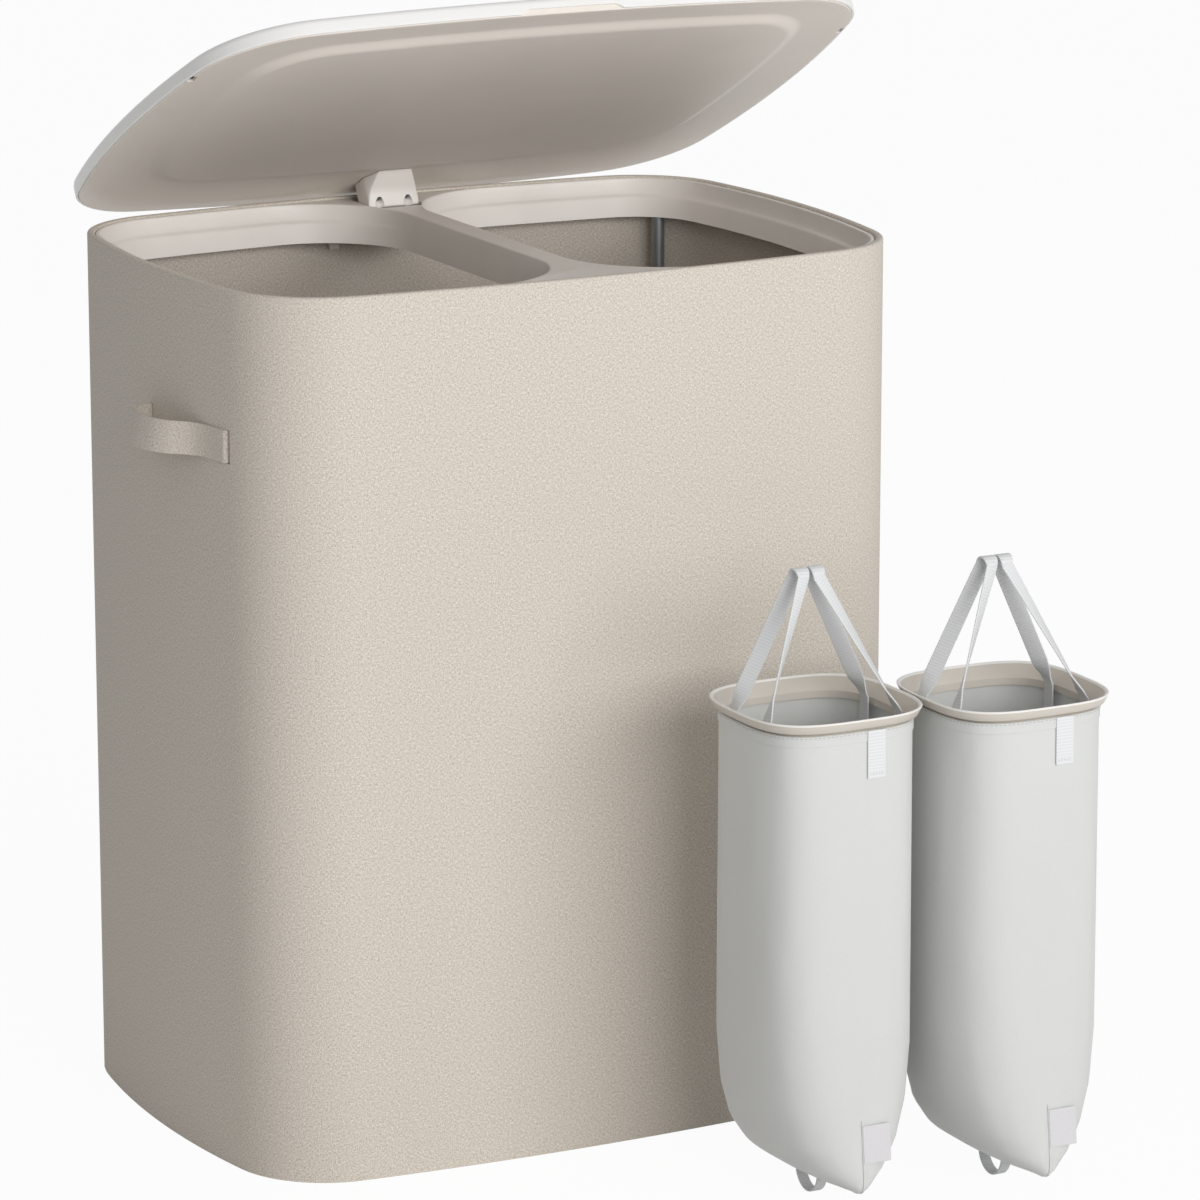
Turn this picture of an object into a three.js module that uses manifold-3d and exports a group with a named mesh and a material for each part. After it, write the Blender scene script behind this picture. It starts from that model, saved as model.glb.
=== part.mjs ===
// A two-bin laundry hamper: a linen sleeve on four corner tubes, a moulded base tray and top frame,
// a hinged lid, and two removable bags that stand beside it.
// Millimetres, +Z up, +X to the right, the front faces -Y. The origin is the middle of the base.
import * as THREE from "three";
import { mergeVertices, toCreasedNormals } from "three/addons/utils/BufferGeometryUtils.js";
import Module from "manifold-3d";

const wasm = await Module();
wasm.setup();

// Body outline, seen from above: four bowed sides and four round corners
const BODY_WIDTH = 570;
const BODY_DEPTH = 414;
const BODY_HEIGHT = 678;
const BODY_CORNER = 80;
const FRONT_BOW = 20;
const SIDE_BOW = 27;

// Clearances
const GAP = 0.3; // between pieces that seat on each other
const RUN_GAP = 0.7; // between pieces that move past each other
const OVERRUN = 5; // how far a cutting solid reaches past what it cuts

// Linen sleeve
const FABRIC_WALL = 3;
const HEM_WALL = 6.2;
const HEM_DEPTH = 28;
const HEM_TAPER = 4;
const HEM_EDGE = 1.2;
const BOTTOM_CLOTH = 1.5;

// Corner tubes
const TUBE_RADIUS = 5.5;
const TUBE_WALL = 1;
const TUBE_INSET = 13.8;

// Base tray
const TRAY_WALL = 2.2;
const TRAY_RIM_HEIGHT = 40;
const TRAY_DECK_HEIGHT = 8;
const TRAY_DECK = 2.5;
const TRAY_RIB = 2;
const TRAY_RIB_PITCH = 110;
const BIN_RIB_WIDTH = 4;
const BIN_RIB_HEIGHT = 12;
const SOCKET_WALL = 2.7;
const SOCKET_HEIGHT = 27;

// Top frame
const FRAME_DROP = 1.5; // of its top below the top of the hem
const FRAME_WALL = 2.2;
const FLANGE_DEPTH = 24.5;
const FRAME_EDGE = 0.8;
const LIP_WIDTH = 3.2;
const LIP_ROUND = 1.5;
const SKIRT_SLOPE_DEPTH = 13;
const SKIRT_SLOPE = 4.5;
const SKIRT_LEDGE_DEPTH = 1.2;
const SKIRT_LEDGE = 3;
const SKIRT_TAPER_DEPTH = 15.3;
const SKIRT_TAPER = 6;
const DIVIDER_WIDTH = 21;
const DIVIDER_TAPER = 1.2;
const BIN_FILLET = 84;
const SPIGOT_LENGTH = 30;
const BOSS_HEIGHT = 6;
const BOSS_WALL = 1;
const HOOK_SPACING = 72;
const HOOK_WIDTH = 8;
const HOOK_LENGTH = 15;
const HOOK_BARB = 1.6;
const HOOK_BARB_HEIGHT = 4;

// Lid
const LID_GAP = 3.5; // between the hem and the closed lid's border
const LID_OVERHANG = 2;
const LID_BAND = 8;
const LID_ROUND = 5;
const LID_CROWN = 5;
const LID_WALL = 2;
const PANEL_WALL = 2.2;
const PANEL_RIM_HEIGHT = 6.5; // of the panel's upturned edge inside the shell
const PANEL_EDGE = 1.4; // width of the bevel round the panel's lower edge
const PANEL_EDGE_DROP = 0.8; // of the panel below the shell's edge
const FIELD_MARGIN = 25; // from the front of the body to the raised field
const FIELD_SIDE_MARGIN = 43;
const FIELD_GAP = 2.7; // from the field to the hinge block
const FIELD_CORNER = 66;
const FIELD_BOW = 15;
const FIELD_RISE = 4.2;
const FIELD_BEVEL = 15;
const NOTCH_WIDTH = 84;
const NOTCH_HEIGHT = 3.6;
const NOTCH_SLANT = 5;
const SNAP_WIDTH = 10;
const SNAP_DEPTH = 4;
const SNAP_PLACE = 118; // in front of the middle of the body
const LID_OPEN = THREE.MathUtils.degToRad(27.8); // how far the lid stands open at rest

// Hinge
const KNUCKLE_RADIUS = 4;
const PIN_RADIUS = 1.8;
const EAR_WALL = 4;
const BLOCK_LENGTH = 33;
const BLOCK_HALF_WIDTH = 22;
const BLOCK_FRONT_HALF_WIDTH = 14;
const BLOCK_BEVEL_LENGTH = 15;
const BLOCK_SLOPE = 11.8;
const BLOCK_FOOT_HEIGHT = 8.5; // of the edge between the front's two faces, above the hinge axis
const BLOCK_FOOT_BEVEL = 4;
const ARM_GAP = 0.4; // from the axis down to the top of the arm
const BLOCK_EDGE = 4; // length of the rounding either side of that edge
const POCKET_WALL = 1.4;
const POCKET_FLOOR = 2;
const SCREW_SPACING = 25;
const SCREW_PLACE = 0.5; // above the hinge axis, on the block's lower front face
const SCREW_ANGLE = THREE.MathUtils.degToRad(58);
const SCREW_HEAD_RADIUS = 2.3;
const SCREW_HEAD = 1.8;
const SCREW_SINK = 5;
const SCREW_RADIUS = 1.4;
const SCREW_LENGTH = 24;
const SCREW_SLOT = 0.8;
const SCREW_BOSS_RADIUS = 5;
const SCREW_BOSS_HEIGHT = 4.5;

// Side handles
const HANDLE_WIDTH = 25;
const HANDLE_THICKNESS = 2.4;
const HANDLE_SPAN = 118; // between the two slits that its ends pass through
const HANDLE_SLIT = 7;
const HANDLE_TUCK = 8; // of its ends along the inside of the wall
const HANDLE_BULGE = 24;
const HANDLE_TOP_DROP = 105.5; // from the top of the hem
const HANDLE_FORWARD = 68; // of its middle from the middle of the body

// Removable bags
const BAG_RIM_WIDTH = 140;
const BAG_RIM_DEPTH = 139;
const BAG_RIM_HEIGHT = 381;
const BAG_FORWARD = 164; // of the left bag's middle from the front of the body
const BAG_SIDE = 86;
const BAG_APART = 2; // between the two bags' rims
const BAG_STAGGER = 31;
const BAG_WALL = 1.6;
const BAG_INSET = 6.5; // of its cloth from the rim's edge
const BAG_SEAM_HEIGHT = 18;
const BAG_SEAM_THICKNESS = 3.4;
const BAG_FLOOR = 6;
const RIM_WALL = 2;
const RIM_BAND = 7;
const RIM_TAPER = 3; // how far the band slopes in towards its foot
const RIM_EDGE = 1;
const RIM_FUNNEL_DEPTH = 10;
const RIM_NECK_DEPTH = 16;
const STRAP_WIDTH = 12;
const STRAP_THICKNESS = 1.4;
const STRAP_SPACING = 50;
const STRAP_TOP_SPACING = 12;
const STRAP_SIDE = -8; // of where the loops meet, from the middle of the bag
const STRAP_RISE = 101; // of the loops above the rim
const STRAP_TUCK = 34; // of their ends below the rim
const STRAP_LEAN_GAP = 1; // between the two loops where they meet
const TAB_WIDTH = 15;
const TAB_LENGTH = 36;
const TAB_THICKNESS = 1.2;
const TAB_SIDE = 15;
const LABEL_WIDTH = 23;
const LABEL_LENGTH = 28.5;
const LABEL_THICKNESS = 0.8;
const LABEL_HEIGHT = 44; // of its foot above the floor
const PULL_SPAN = 34;
const PULL_WIDTH = 9;
const PULL_THICKNESS = 1.5;

// Values worked out from the sizes above
const HALF_DEPTH = BODY_DEPTH / 2;
const FRAME_TOP = BODY_HEIGHT - FRAME_DROP;
const FRAME_INSET = HEM_WALL + 2 * GAP;
const OPENING_INSET = FRAME_INSET + LIP_WIDTH;
const SKIRT_DEPTH = SKIRT_SLOPE_DEPTH + SKIRT_LEDGE_DEPTH + SKIRT_TAPER_DEPTH;
const FLANGE_FOOT = FRAME_TOP - FLANGE_DEPTH;
const TUBE_TOP = FLANGE_FOOT - GAP;
const SOCKET_FLOOR = TRAY_DECK_HEIGHT + TRAY_RIB;
const TUBE_FOOT = SOCKET_FLOOR + GAP;
const LID_UNDERSIDE = BODY_HEIGHT + LID_GAP;

// The hinge axis lies just inside the hem, low enough for the hem to clear the lid at every angle
const AXIS_INSET = HEM_WALL + GAP + KNUCKLE_RADIUS;
const AXIS_Y = HALF_DEPTH - AXIS_INSET;
const SWING_GAP = LID_GAP - RUN_GAP;
const AXIS_DROP = (AXIS_INSET ** 2 - SWING_GAP ** 2) / (2 * SWING_GAP);
const AXIS_Z = BODY_HEIGHT - AXIS_DROP;
const ARM_REACH = Math.hypot(AXIS_INSET, AXIS_DROP) + RUN_GAP;

// The hinge block and the pocket that it closes into
const LID_EDGE = LID_UNDERSIDE + PANEL_EDGE_DROP;
const LID_BAND_TOP = LID_UNDERSIDE + LID_BAND;
const BLOCK_FRONT = AXIS_Y - ARM_REACH - BLOCK_LENGTH;
const BLOCK_TOP = LID_UNDERSIDE - GAP;
const BLOCK_FACE_SLOPE = BLOCK_SLOPE / (BLOCK_TOP - AXIS_Z - BLOCK_FOOT_HEIGHT);
const POCKET_FOOT = AXIS_Z - KNUCKLE_RADIUS - RUN_GAP - POCKET_FLOOR;
const PIN_HALF = BLOCK_HALF_WIDTH + RUN_GAP + EAR_WALL;
const SCREW_PLACES = [-SCREW_SPACING / 2, SCREW_SPACING / 2];
const BLOCK_FOOT_SLOPE = BLOCK_FOOT_BEVEL / (BLOCK_FOOT_HEIGHT + KNUCKLE_RADIUS);
const SCREW_Y = BLOCK_FRONT + BLOCK_SLOPE + BLOCK_FOOT_SLOPE * (BLOCK_FOOT_HEIGHT - SCREW_PLACE);
const SCREW_DIRECTION = new THREE.Vector3(0, Math.cos(SCREW_ANGLE), Math.sin(SCREW_ANGLE));

// The lid's raised field keeps its margins and ends in front of the hinge block
const FIELD_FRONT = FIELD_MARGIN - HALF_DEPTH;
const FIELD_BACK = BLOCK_FRONT - FIELD_GAP;
const FIELD_MIDDLE = (FIELD_FRONT + FIELD_BACK) / 2;

// The cloth of a bag hangs inside its rim's outline and round the rim's neck
const CLOTH_WIDTH = BAG_RIM_WIDTH - 2 * BAG_INSET;
const CLOTH_DEPTH = BAG_RIM_DEPTH - 2 * BAG_INSET;
const CLOTH_TOP = BAG_RIM_HEIGHT - RIM_FUNNEL_DEPTH - GAP;
const NECK_INSET = BAG_INSET + BAG_WALL + GAP;

const HANDLE_TOP = BODY_HEIGHT - HANDLE_TOP_DROP;
const HANDLE_Z = HANDLE_TOP - HANDLE_WIDTH / 2;

// Sampling of round forms
const SIDE_STEPS = 3;
const CORNER_STEPS = 6;
const FRONT_STEPS = 4;
const FILLET_STEPS = 7;
const ROUND_STEPS = 16;
const EDGE_STEPS = 3;
const CROWN_STEPS = 4;
const BEVEL_STEPS = 4;
const OVAL_STEPS = 28;
const LEG_STEPS = 8;
const BEND_STEPS = 6;
const STRIP_STEPS = 3;
const CREASE_ANGLE = Math.PI / 6; // faces that meet at less are shaded as one

const BODY = {
  width: BODY_WIDTH,
  depth: BODY_DEPTH,
  corner: BODY_CORNER,
  frontBow: FRONT_BOW,
  sideBow: SIDE_BOW,
};
const FIELD = {
  width: BODY_WIDTH - 2 * FIELD_SIDE_MARGIN,
  depth: FIELD_BACK - FIELD_FRONT,
  corner: FIELD_CORNER,
  frontBow: FIELD_BOW,
  sideBow: FIELD_BOW,
};

// A bag's cloth from its bottom seam up: share of the height, share of the width and of the depth
// at its top, and how round the section is (1 is an ellipse, less is squarer)
const BAG_SECTION_SHARES = [
  [0, BAG_SEAM_THICKNESS / CLOTH_WIDTH, 1.2, 1],
  [0.02, 0.35, 1.27, 0.95],
  [0.05, 0.6, 1.25, 0.88],
  [0.1, 0.8, 1.22, 0.8],
  [0.18, 0.93, 1.17, 0.72],
  [0.3, 0.99, 1.11, 0.65],
  [0.5, 1, 1.04, 0.61],
  [1, 1, 1, 0.6],
];
const RIM_ROUNDNESS = 0.6;

// How a strap turns: share of its path, share of half a turn. It lies flat against the neck at both
// ends and flat across the bend in the middle.
const STRAP_TURN_SHARES = [
  [0, 0],
  [0.04, 0],
  [0.083, 0.155],
  [0.5, 0.5],
  [0.917, 0.655],
  [0.96, 1],
  [1, 1],
];

// A side handle between its slits, from the near one: share of the span, share of the bulge
const HANDLE_PATH_SHARES = [
  [0.02, 0],
  [0.06, 0],
  [0.19, 0],
  [0.27, 0.05],
  [0.34, 0.17],
  [0.41, 0.42],
  [0.48, 0.7],
  [0.58, 0.92],
  [0.7, 1],
  [0.78, 0.99],
  [0.86, 0.91],
  [0.93, 0.74],
  [0.98, 0.46],
  [1, 0.14],
];

// Materials
const material = (color, roughness, metalness = 0) =>
  new THREE.MeshStandardMaterial({ color, roughness, metalness });
const linen = material(0xcdc4b8, 0.95);
const palePlastic = material(0xd3cdc6, 0.5);
const panelPlastic = material(0xbab1a8, 0.55);
const whitePlastic = material(0xebe9e5, 0.4);
const zincSteel = material(0x8d9194, 0.35, 0.9);
const whiteCloth = material(0xd9d9d8, 0.9);
const webbing = material(0xe6e7ea, 0.85);

// Turns the faces outwards when a form was swept the other way round.
function facingOut(geometry) {
  const position = geometry.getAttribute("position");
  const index = geometry.index.array;
  const [a, b, c] = [new THREE.Vector3(), new THREE.Vector3(), new THREE.Vector3()];
  let volume = 0;
  for (let i = 0; i < index.length; i += 3) {
    a.fromBufferAttribute(position, index[i]);
    b.fromBufferAttribute(position, index[i + 1]);
    c.fromBufferAttribute(position, index[i + 2]);
    volume += a.dot(b.cross(c));
  }
  if (volume < 0) index.reverse();
  return geometry;
}

// Joins rings of points, each with as many points as the next, into a skin.
// A loop joins its last ring to its first, as a wall does that goes round;
// otherwise both end rings are filled from their middle.
function loft(rings, { loop = false } = {}) {
  const count = rings[0].length;
  const points = rings.flat();
  const faces = [];
  const joins = loop ? rings.length : rings.length - 1;
  for (let r = 0; r < joins; r++) {
    const here = r * count;
    const next = ((r + 1) % rings.length) * count;
    for (let i = 0; i < count; i++) {
      const j = (i + 1) % count;
      faces.push(here + i, here + j, next + j, here + i, next + j, next + i);
    }
  }
  const fill = (start, forwards) => {
    const middle = new THREE.Vector3();
    for (let i = 0; i < count; i++) middle.add(points[start + i]);
    const centre = points.push(middle.divideScalar(count)) - 1;
    for (let i = 0; i < count; i++) {
      const edge = [start + i, start + ((i + 1) % count)];
      faces.push(centre, ...(forwards ? edge : edge.reverse()));
    }
  };
  if (!loop) {
    fill(0, false);
    fill((rings.length - 1) * count, true);
  }
  const geometry = new THREE.BufferGeometry().setFromPoints(points);
  geometry.setIndex(faces);
  return facingOut(geometry);
}

const atHeight = (outline, z) => outline.map(({ x, y }) => new THREE.Vector3(x, y, z));

// A flat outline pulled straight up from one height to another.
const prism = (outline, z0, z1) => loft([atHeight(outline, z0), atHeight(outline, z1)]);

// A box between two corners.
function box(low, high) {
  const size = high.map((value, i) => value - low[i]);
  const middle = low.map((value, i) => value + size[i] / 2);
  return new THREE.BoxGeometry(...size).translate(...middle);
}

// A round bar between two points.
function bar(from, to, radius) {
  const along = new THREE.Vector3().subVectors(to, from);
  const geometry = new THREE.CylinderGeometry(radius, radius, along.length(), ROUND_STEPS);
  const turn = new THREE.Quaternion();
  turn.setFromUnitVectors(new THREE.Vector3(0, 1, 0), along.clone().normalize());
  const middle = new THREE.Vector3().addVectors(from, to).divideScalar(2);
  return geometry.applyQuaternion(turn).translate(...middle.toArray());
}

// The value at a share, between the entries of a table of [share, value].
function valueAt(table, share) {
  const next = Math.max(1, table.findIndex(([place]) => place >= share));
  const [[low, from], [high, to]] = [table[next - 1], table[next]];
  return THREE.MathUtils.mapLinear(share, low, high, from, to);
}

// A flat band along a path. widthAt gives the direction of its width at a share of the path.
function ribbon(path, width, thickness, widthAt) {
  const rings = path.map((point, i) => {
    const before = path[Math.max(i - 1, 0)];
    const after = path[Math.min(i + 1, path.length - 1)];
    const tangent = new THREE.Vector3().subVectors(after, before).normalize();
    const across = widthAt(i / (path.length - 1));
    across.addScaledVector(tangent, -across.dot(tangent)).normalize();
    const out = new THREE.Vector3().crossVectors(tangent, across);
    const corner = (a, b) =>
      point
        .clone()
        .addScaledVector(across, (a * width) / 2)
        .addScaledVector(out, (b * thickness) / 2);
    return [corner(1, 1), corner(-1, 1), corner(-1, -1), corner(1, -1)];
  });
  return loft(rings);
}

// Solids that can be joined and cut, from closed geometries and back.
function solid(geometry) {
  const bare = new THREE.BufferGeometry();
  bare.setAttribute("position", geometry.getAttribute("position"));
  bare.setIndex(geometry.index);
  const merged = mergeVertices(bare);
  return new wasm.Manifold(
    new wasm.Mesh({
      numProp: 3,
      vertProperties: merged.getAttribute("position").array,
      triVerts: Uint32Array.from(merged.index.array),
    }),
  );
}

function geometryOf(shape) {
  const { vertProperties, triVerts } = shape.getMesh();
  const geometry = new THREE.BufferGeometry();
  geometry.setAttribute("position", new THREE.BufferAttribute(vertProperties, 3));
  geometry.setIndex(new THREE.BufferAttribute(triVerts, 1));
  return geometry;
}

const join = (shape, ...geometries) =>
  geometries.reduce((whole, geometry) => whole.add(solid(geometry)), shape);
const cut = (shape, ...geometries) =>
  geometries.reduce((rest, geometry) => rest.subtract(solid(geometry)), shape);

// The circles behind a quarter of a bowed outline: its side and front arcs, and the corner's centre,
// which is where arcs inside both by the corner's radius cross.
function quarter({ width, depth, corner, frontBow, sideBow }) {
  const sideRadius = (depth ** 2 / 4 + sideBow ** 2) / (2 * sideBow);
  const frontRadius = (width ** 2 / 4 + frontBow ** 2) / (2 * frontBow);
  const side = new THREE.Vector2(width / 2 - sideRadius, 0);
  const front = new THREE.Vector2(0, depth / 2 - frontRadius);
  const between = new THREE.Vector2().subVectors(front, side);
  const [sideReach, frontReach] = [sideRadius - corner, frontRadius - corner];
  const along = (between.lengthSq() + sideReach ** 2 - frontReach ** 2) / (2 * between.length());
  const across = Math.sqrt(sideReach ** 2 - along ** 2);
  between.normalize();
  const centre = side.clone().addScaledVector(between, along);
  centre.add(new THREE.Vector2(-between.y, between.x).multiplyScalar(across));
  const start = Math.atan2(centre.y - side.y, centre.x - side.x);
  const end = Math.atan2(centre.y - front.y, centre.x - front.x);
  return { side, front, centre, sideRadius, frontRadius, start, end };
}

const BODY_ARCS = quarter(BODY);

function arc(centre, radius, from, to, steps) {
  const points = [];
  for (let i = 0; i <= steps; i++) {
    const angle = from + ((to - from) * i) / steps;
    const reach = new THREE.Vector2(Math.cos(angle), Math.sin(angle)).multiplyScalar(radius);
    points.push(reach.add(centre));
  }
  return points;
}

// The lower half of an outline whose upper half runs from its right end to its left end.
const mirroredDown = (upper) =>
  upper.map(({ x, y }) => new THREE.Vector2(x, -y)).reverse().slice(1, -1);

// A bowed outline, pulled in by inset all round, anticlockwise from the middle of its right side.
function bowedOutline(shape, inset) {
  const { side, front, centre, sideRadius, frontRadius, start, end } = quarter(shape);
  const first = [
    ...arc(side, sideRadius - inset, 0, start, SIDE_STEPS),
    ...arc(centre, shape.corner - inset, start, end, CORNER_STEPS).slice(1),
    ...arc(front, frontRadius - inset, end, Math.PI / 2, FRONT_STEPS).slice(1),
  ];
  const second = first.map(({ x, y }) => new THREE.Vector2(-x, y)).reverse().slice(1);
  const upper = [...first, ...second];
  return [...upper, ...mirroredDown(upper)];
}

const bodyRing = (inset, z) => atHeight(bowedOutline(BODY, inset), z);

// How far the body's side wall reaches from the middle at a place along its depth.
const sideReachAt = (y) => BODY_ARCS.side.x + Math.sqrt(BODY_ARCS.sideRadius ** 2 - y ** 2);

// One bin's mouth: the body's outline pulled in by inset on three sides, and a straight side along
// the divider, joined to it by two large fillets.
function mouthOutline(inset, halfDivider, fillet, hand) {
  const { side, front, centre, sideRadius, frontRadius, start, end } = BODY_ARCS;
  const filletX = halfDivider + fillet;
  const reach = frontRadius - inset - fillet;
  const filletCentre = new THREE.Vector2(filletX, front.y + Math.sqrt(reach ** 2 - filletX ** 2));
  const meet = Math.atan2(filletCentre.y - front.y, filletX);
  const upper = [
    ...arc(side, sideRadius - inset, 0, start, SIDE_STEPS),
    ...arc(centre, BODY.corner - inset, start, end, CORNER_STEPS).slice(1),
    ...arc(front, frontRadius - inset, end, meet, SIDE_STEPS).slice(1),
    ...arc(filletCentre, fillet, meet, Math.PI, FILLET_STEPS).slice(1),
    new THREE.Vector2(halfDivider, 0),
  ];
  return [...upper, ...mirroredDown(upper)].map(({ x, y }) => new THREE.Vector2(hand * x, y));
}

// A squarish oval of a bag.
function oval(width, depth, roundness) {
  const points = [];
  for (let i = 0; i < OVAL_STEPS; i++) {
    const angle = (2 * Math.PI * i) / OVAL_STEPS;
    const [c, s] = [Math.cos(angle), Math.sin(angle)];
    const x = (width / 2) * Math.sign(c) * Math.abs(c) ** roundness;
    const y = (depth / 2) * Math.sign(s) * Math.abs(s) ** roundness;
    points.push(new THREE.Vector2(x, y));
  }
  return points;
}

// Linen sleeve: thin walls, a thick folded hem round the top, and a slit for each handle's end.
function fabricBody() {
  const hemFoot = BODY_HEIGHT - HEM_DEPTH;
  const sleeve = loft(
    [
      bodyRing(0, 0),
      bodyRing(0, BODY_HEIGHT - HEM_EDGE),
      bodyRing(HEM_EDGE, BODY_HEIGHT),
      bodyRing(HEM_WALL - HEM_EDGE, BODY_HEIGHT),
      bodyRing(HEM_WALL, BODY_HEIGHT - HEM_EDGE),
      bodyRing(HEM_WALL, hemFoot),
      bodyRing(FABRIC_WALL, hemFoot - HEM_TAPER),
      bodyRing(FABRIC_WALL, 0),
    ],
    { loop: true },
  );
  const slits = [-1, 1].flatMap((hand) => [handleSlit(hand, 0), handleSlit(hand, HANDLE_SPAN)]);
  return geometryOf(cut(solid(sleeve), ...slits));
}

const fabricBottom = () => prism(bowedOutline(BODY, FABRIC_WALL + GAP), 0, BOTTOM_CLOTH);

const handleAngle = (along) => (along - HANDLE_SPAN / 2 - HANDLE_FORWARD) / BODY_ARCS.sideRadius;

// A slit through the side wall, at a distance along it from the handle's near end.
function handleSlit(hand, along) {
  const { side, sideRadius } = BODY_ARCS;
  const [inner, outer] = [sideRadius - FABRIC_WALL - OVERRUN, sideRadius + OVERRUN];
  const foot = HANDLE_Z - HANDLE_WIDTH / 2 - GAP;
  const slit = box([inner, -HANDLE_SLIT / 2, foot], [outer, HANDLE_SLIT / 2, HANDLE_TOP + GAP]);
  const angle = handleAngle(along);
  return slit.rotateZ(hand > 0 ? angle : Math.PI - angle).translate(hand * side.x, 0, 0);
}

// A side handle: it comes out of the wall at one slit, arches, and goes back in at the other. Its
// ends lie flat against the inside of the wall.
function sideHandle(hand) {
  const { side, sideRadius } = BODY_ARCS;
  const rest = GAP + HANDLE_THICKNESS / 2;
  const inside = -FABRIC_WALL - GAP - rest;
  const places = [
    [-HANDLE_TUCK, inside],
    [-HANDLE_SLIT / 3, inside],
    ...HANDLE_PATH_SHARES.map(([along, out]) => [HANDLE_SPAN * along, rest + HANDLE_BULGE * out]),
    [HANDLE_SPAN + HANDLE_SLIT / 3, inside],
    [HANDLE_SPAN + HANDLE_TUCK, inside],
  ];
  const path = places.map(([along, out]) => {
    const angle = handleAngle(along);
    const reach = sideRadius + out;
    const x = side.x + reach * Math.cos(angle);
    return new THREE.Vector3(hand * x, reach * Math.sin(angle), HANDLE_Z);
  });
  return ribbon(path, HANDLE_WIDTH, HANDLE_THICKNESS, () => new THREE.Vector3(0, 0, 1));
}

// The four tubes stand on the middle of each corner's arc.
const TUBE_ANGLE = (BODY_ARCS.start + BODY_ARCS.end) / 2;
const TUBE_X = BODY_ARCS.centre.x + (BODY_CORNER - TUBE_INSET) * Math.cos(TUBE_ANGLE);
const TUBE_Y = BODY_ARCS.centre.y + (BODY_CORNER - TUBE_INSET) * Math.sin(TUBE_ANGLE);
const CORNERS = [
  ["front_left", -TUBE_X, -TUBE_Y],
  ["front_right", TUBE_X, -TUBE_Y],
  ["back_left", -TUBE_X, TUBE_Y],
  ["back_right", TUBE_X, TUBE_Y],
];
const upright = (x, y, z0, z1, radius) =>
  bar(new THREE.Vector3(x, y, z0), new THREE.Vector3(x, y, z1), radius);

function cornerTube(x, y) {
  const wall = solid(upright(x, y, TUBE_FOOT, TUBE_TOP, TUBE_RADIUS));
  const bore = upright(x, y, TUBE_FOOT - OVERRUN, TUBE_TOP + OVERRUN, TUBE_RADIUS - TUBE_WALL);
  return geometryOf(cut(wall, bore));
}

// Places at a pitch either side of zero, within a reach.
function placesWithin(reach, pitch) {
  const count = Math.floor(reach / pitch);
  return Array.from({ length: 2 * count + 1 }, (_, i) => (i - count) * pitch);
}

// The base tray: a ribbed deck, a wall round it, a rib between the bins and a socket for each tube.
function baseTray() {
  const inset = FABRIC_WALL + 2 * GAP;
  const foot = BOTTOM_CLOTH + GAP;
  const deckUnderside = TRAY_DECK_HEIGHT - TRAY_DECK;
  const inner = bowedOutline(BODY, inset + TRAY_WALL);
  const [reachX, reachY] = [BODY_WIDTH / 2, HALF_DEPTH];
  let under = solid(prism(inner, foot - OVERRUN, deckUnderside));
  for (const x of placesWithin(reachX, TRAY_RIB_PITCH)) {
    const [left, right] = [x - TRAY_RIB / 2, x + TRAY_RIB / 2];
    under = cut(under, box([left, -reachY, foot], [right, reachY, TRAY_DECK_HEIGHT]));
  }
  for (const y of placesWithin(reachY, TRAY_RIB_PITCH)) {
    const [near, far] = [y - TRAY_RIB / 2, y + TRAY_RIB / 2];
    under = cut(under, box([-reachX, near, foot], [reachX, far, TRAY_DECK_HEIGHT]));
  }
  let tray = solid(prism(bowedOutline(BODY, inset), foot, TRAY_RIM_HEIGHT));
  tray = cut(tray, prism(inner, TRAY_DECK_HEIGHT, TRAY_RIM_HEIGHT + OVERRUN));
  tray = tray.subtract(under);
  const ribReach = HALF_DEPTH - inset - TRAY_WALL / 2;
  const ribTop = TRAY_DECK_HEIGHT + BIN_RIB_HEIGHT;
  const ribLow = [-BIN_RIB_WIDTH / 2, -ribReach, deckUnderside];
  tray = join(tray, box(ribLow, [BIN_RIB_WIDTH / 2, ribReach, ribTop]));
  const bore = TUBE_RADIUS + GAP;
  const socketTop = SOCKET_FLOOR + SOCKET_HEIGHT;
  for (const [, x, y] of CORNERS) {
    tray = join(tray, upright(x, y, deckUnderside, socketTop, bore + SOCKET_WALL));
    tray = cut(tray, upright(x, y, SOCKET_FLOOR, socketTop + OVERRUN, bore));
  }
  return geometryOf(tray);
}

// One bin's mouth through the frame, from its rounded lip down the sloped, stepped and tapered skirt.
const MOUTH_LEVELS = [
  [-OVERRUN, -LIP_ROUND],
  [0, -LIP_ROUND],
  [LIP_ROUND / 3, -LIP_ROUND / 3],
  [LIP_ROUND, 0],
  [SKIRT_SLOPE_DEPTH, SKIRT_SLOPE],
  [SKIRT_SLOPE_DEPTH + SKIRT_LEDGE_DEPTH, SKIRT_SLOPE + SKIRT_LEDGE],
  [SKIRT_DEPTH, SKIRT_SLOPE + SKIRT_LEDGE + SKIRT_TAPER],
  [SKIRT_DEPTH + OVERRUN, SKIRT_SLOPE + SKIRT_LEDGE + SKIRT_TAPER],
];

function mouthLoft(levels, hand, grow) {
  return loft(
    levels.map(([depth, inward]) => {
      const taper = (DIVIDER_TAPER * Math.max(0, depth)) / SKIRT_DEPTH;
      const halfDivider = DIVIDER_WIDTH / 2 + Math.min(inward, taper) - grow;
      const fillet = BIN_FILLET - inward / 2 + grow;
      const outline = mouthOutline(OPENING_INSET + inward - grow, halfDivider, fillet, hand);
      return atHeight(outline, FRAME_TOP - depth);
    }),
  );
}

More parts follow.
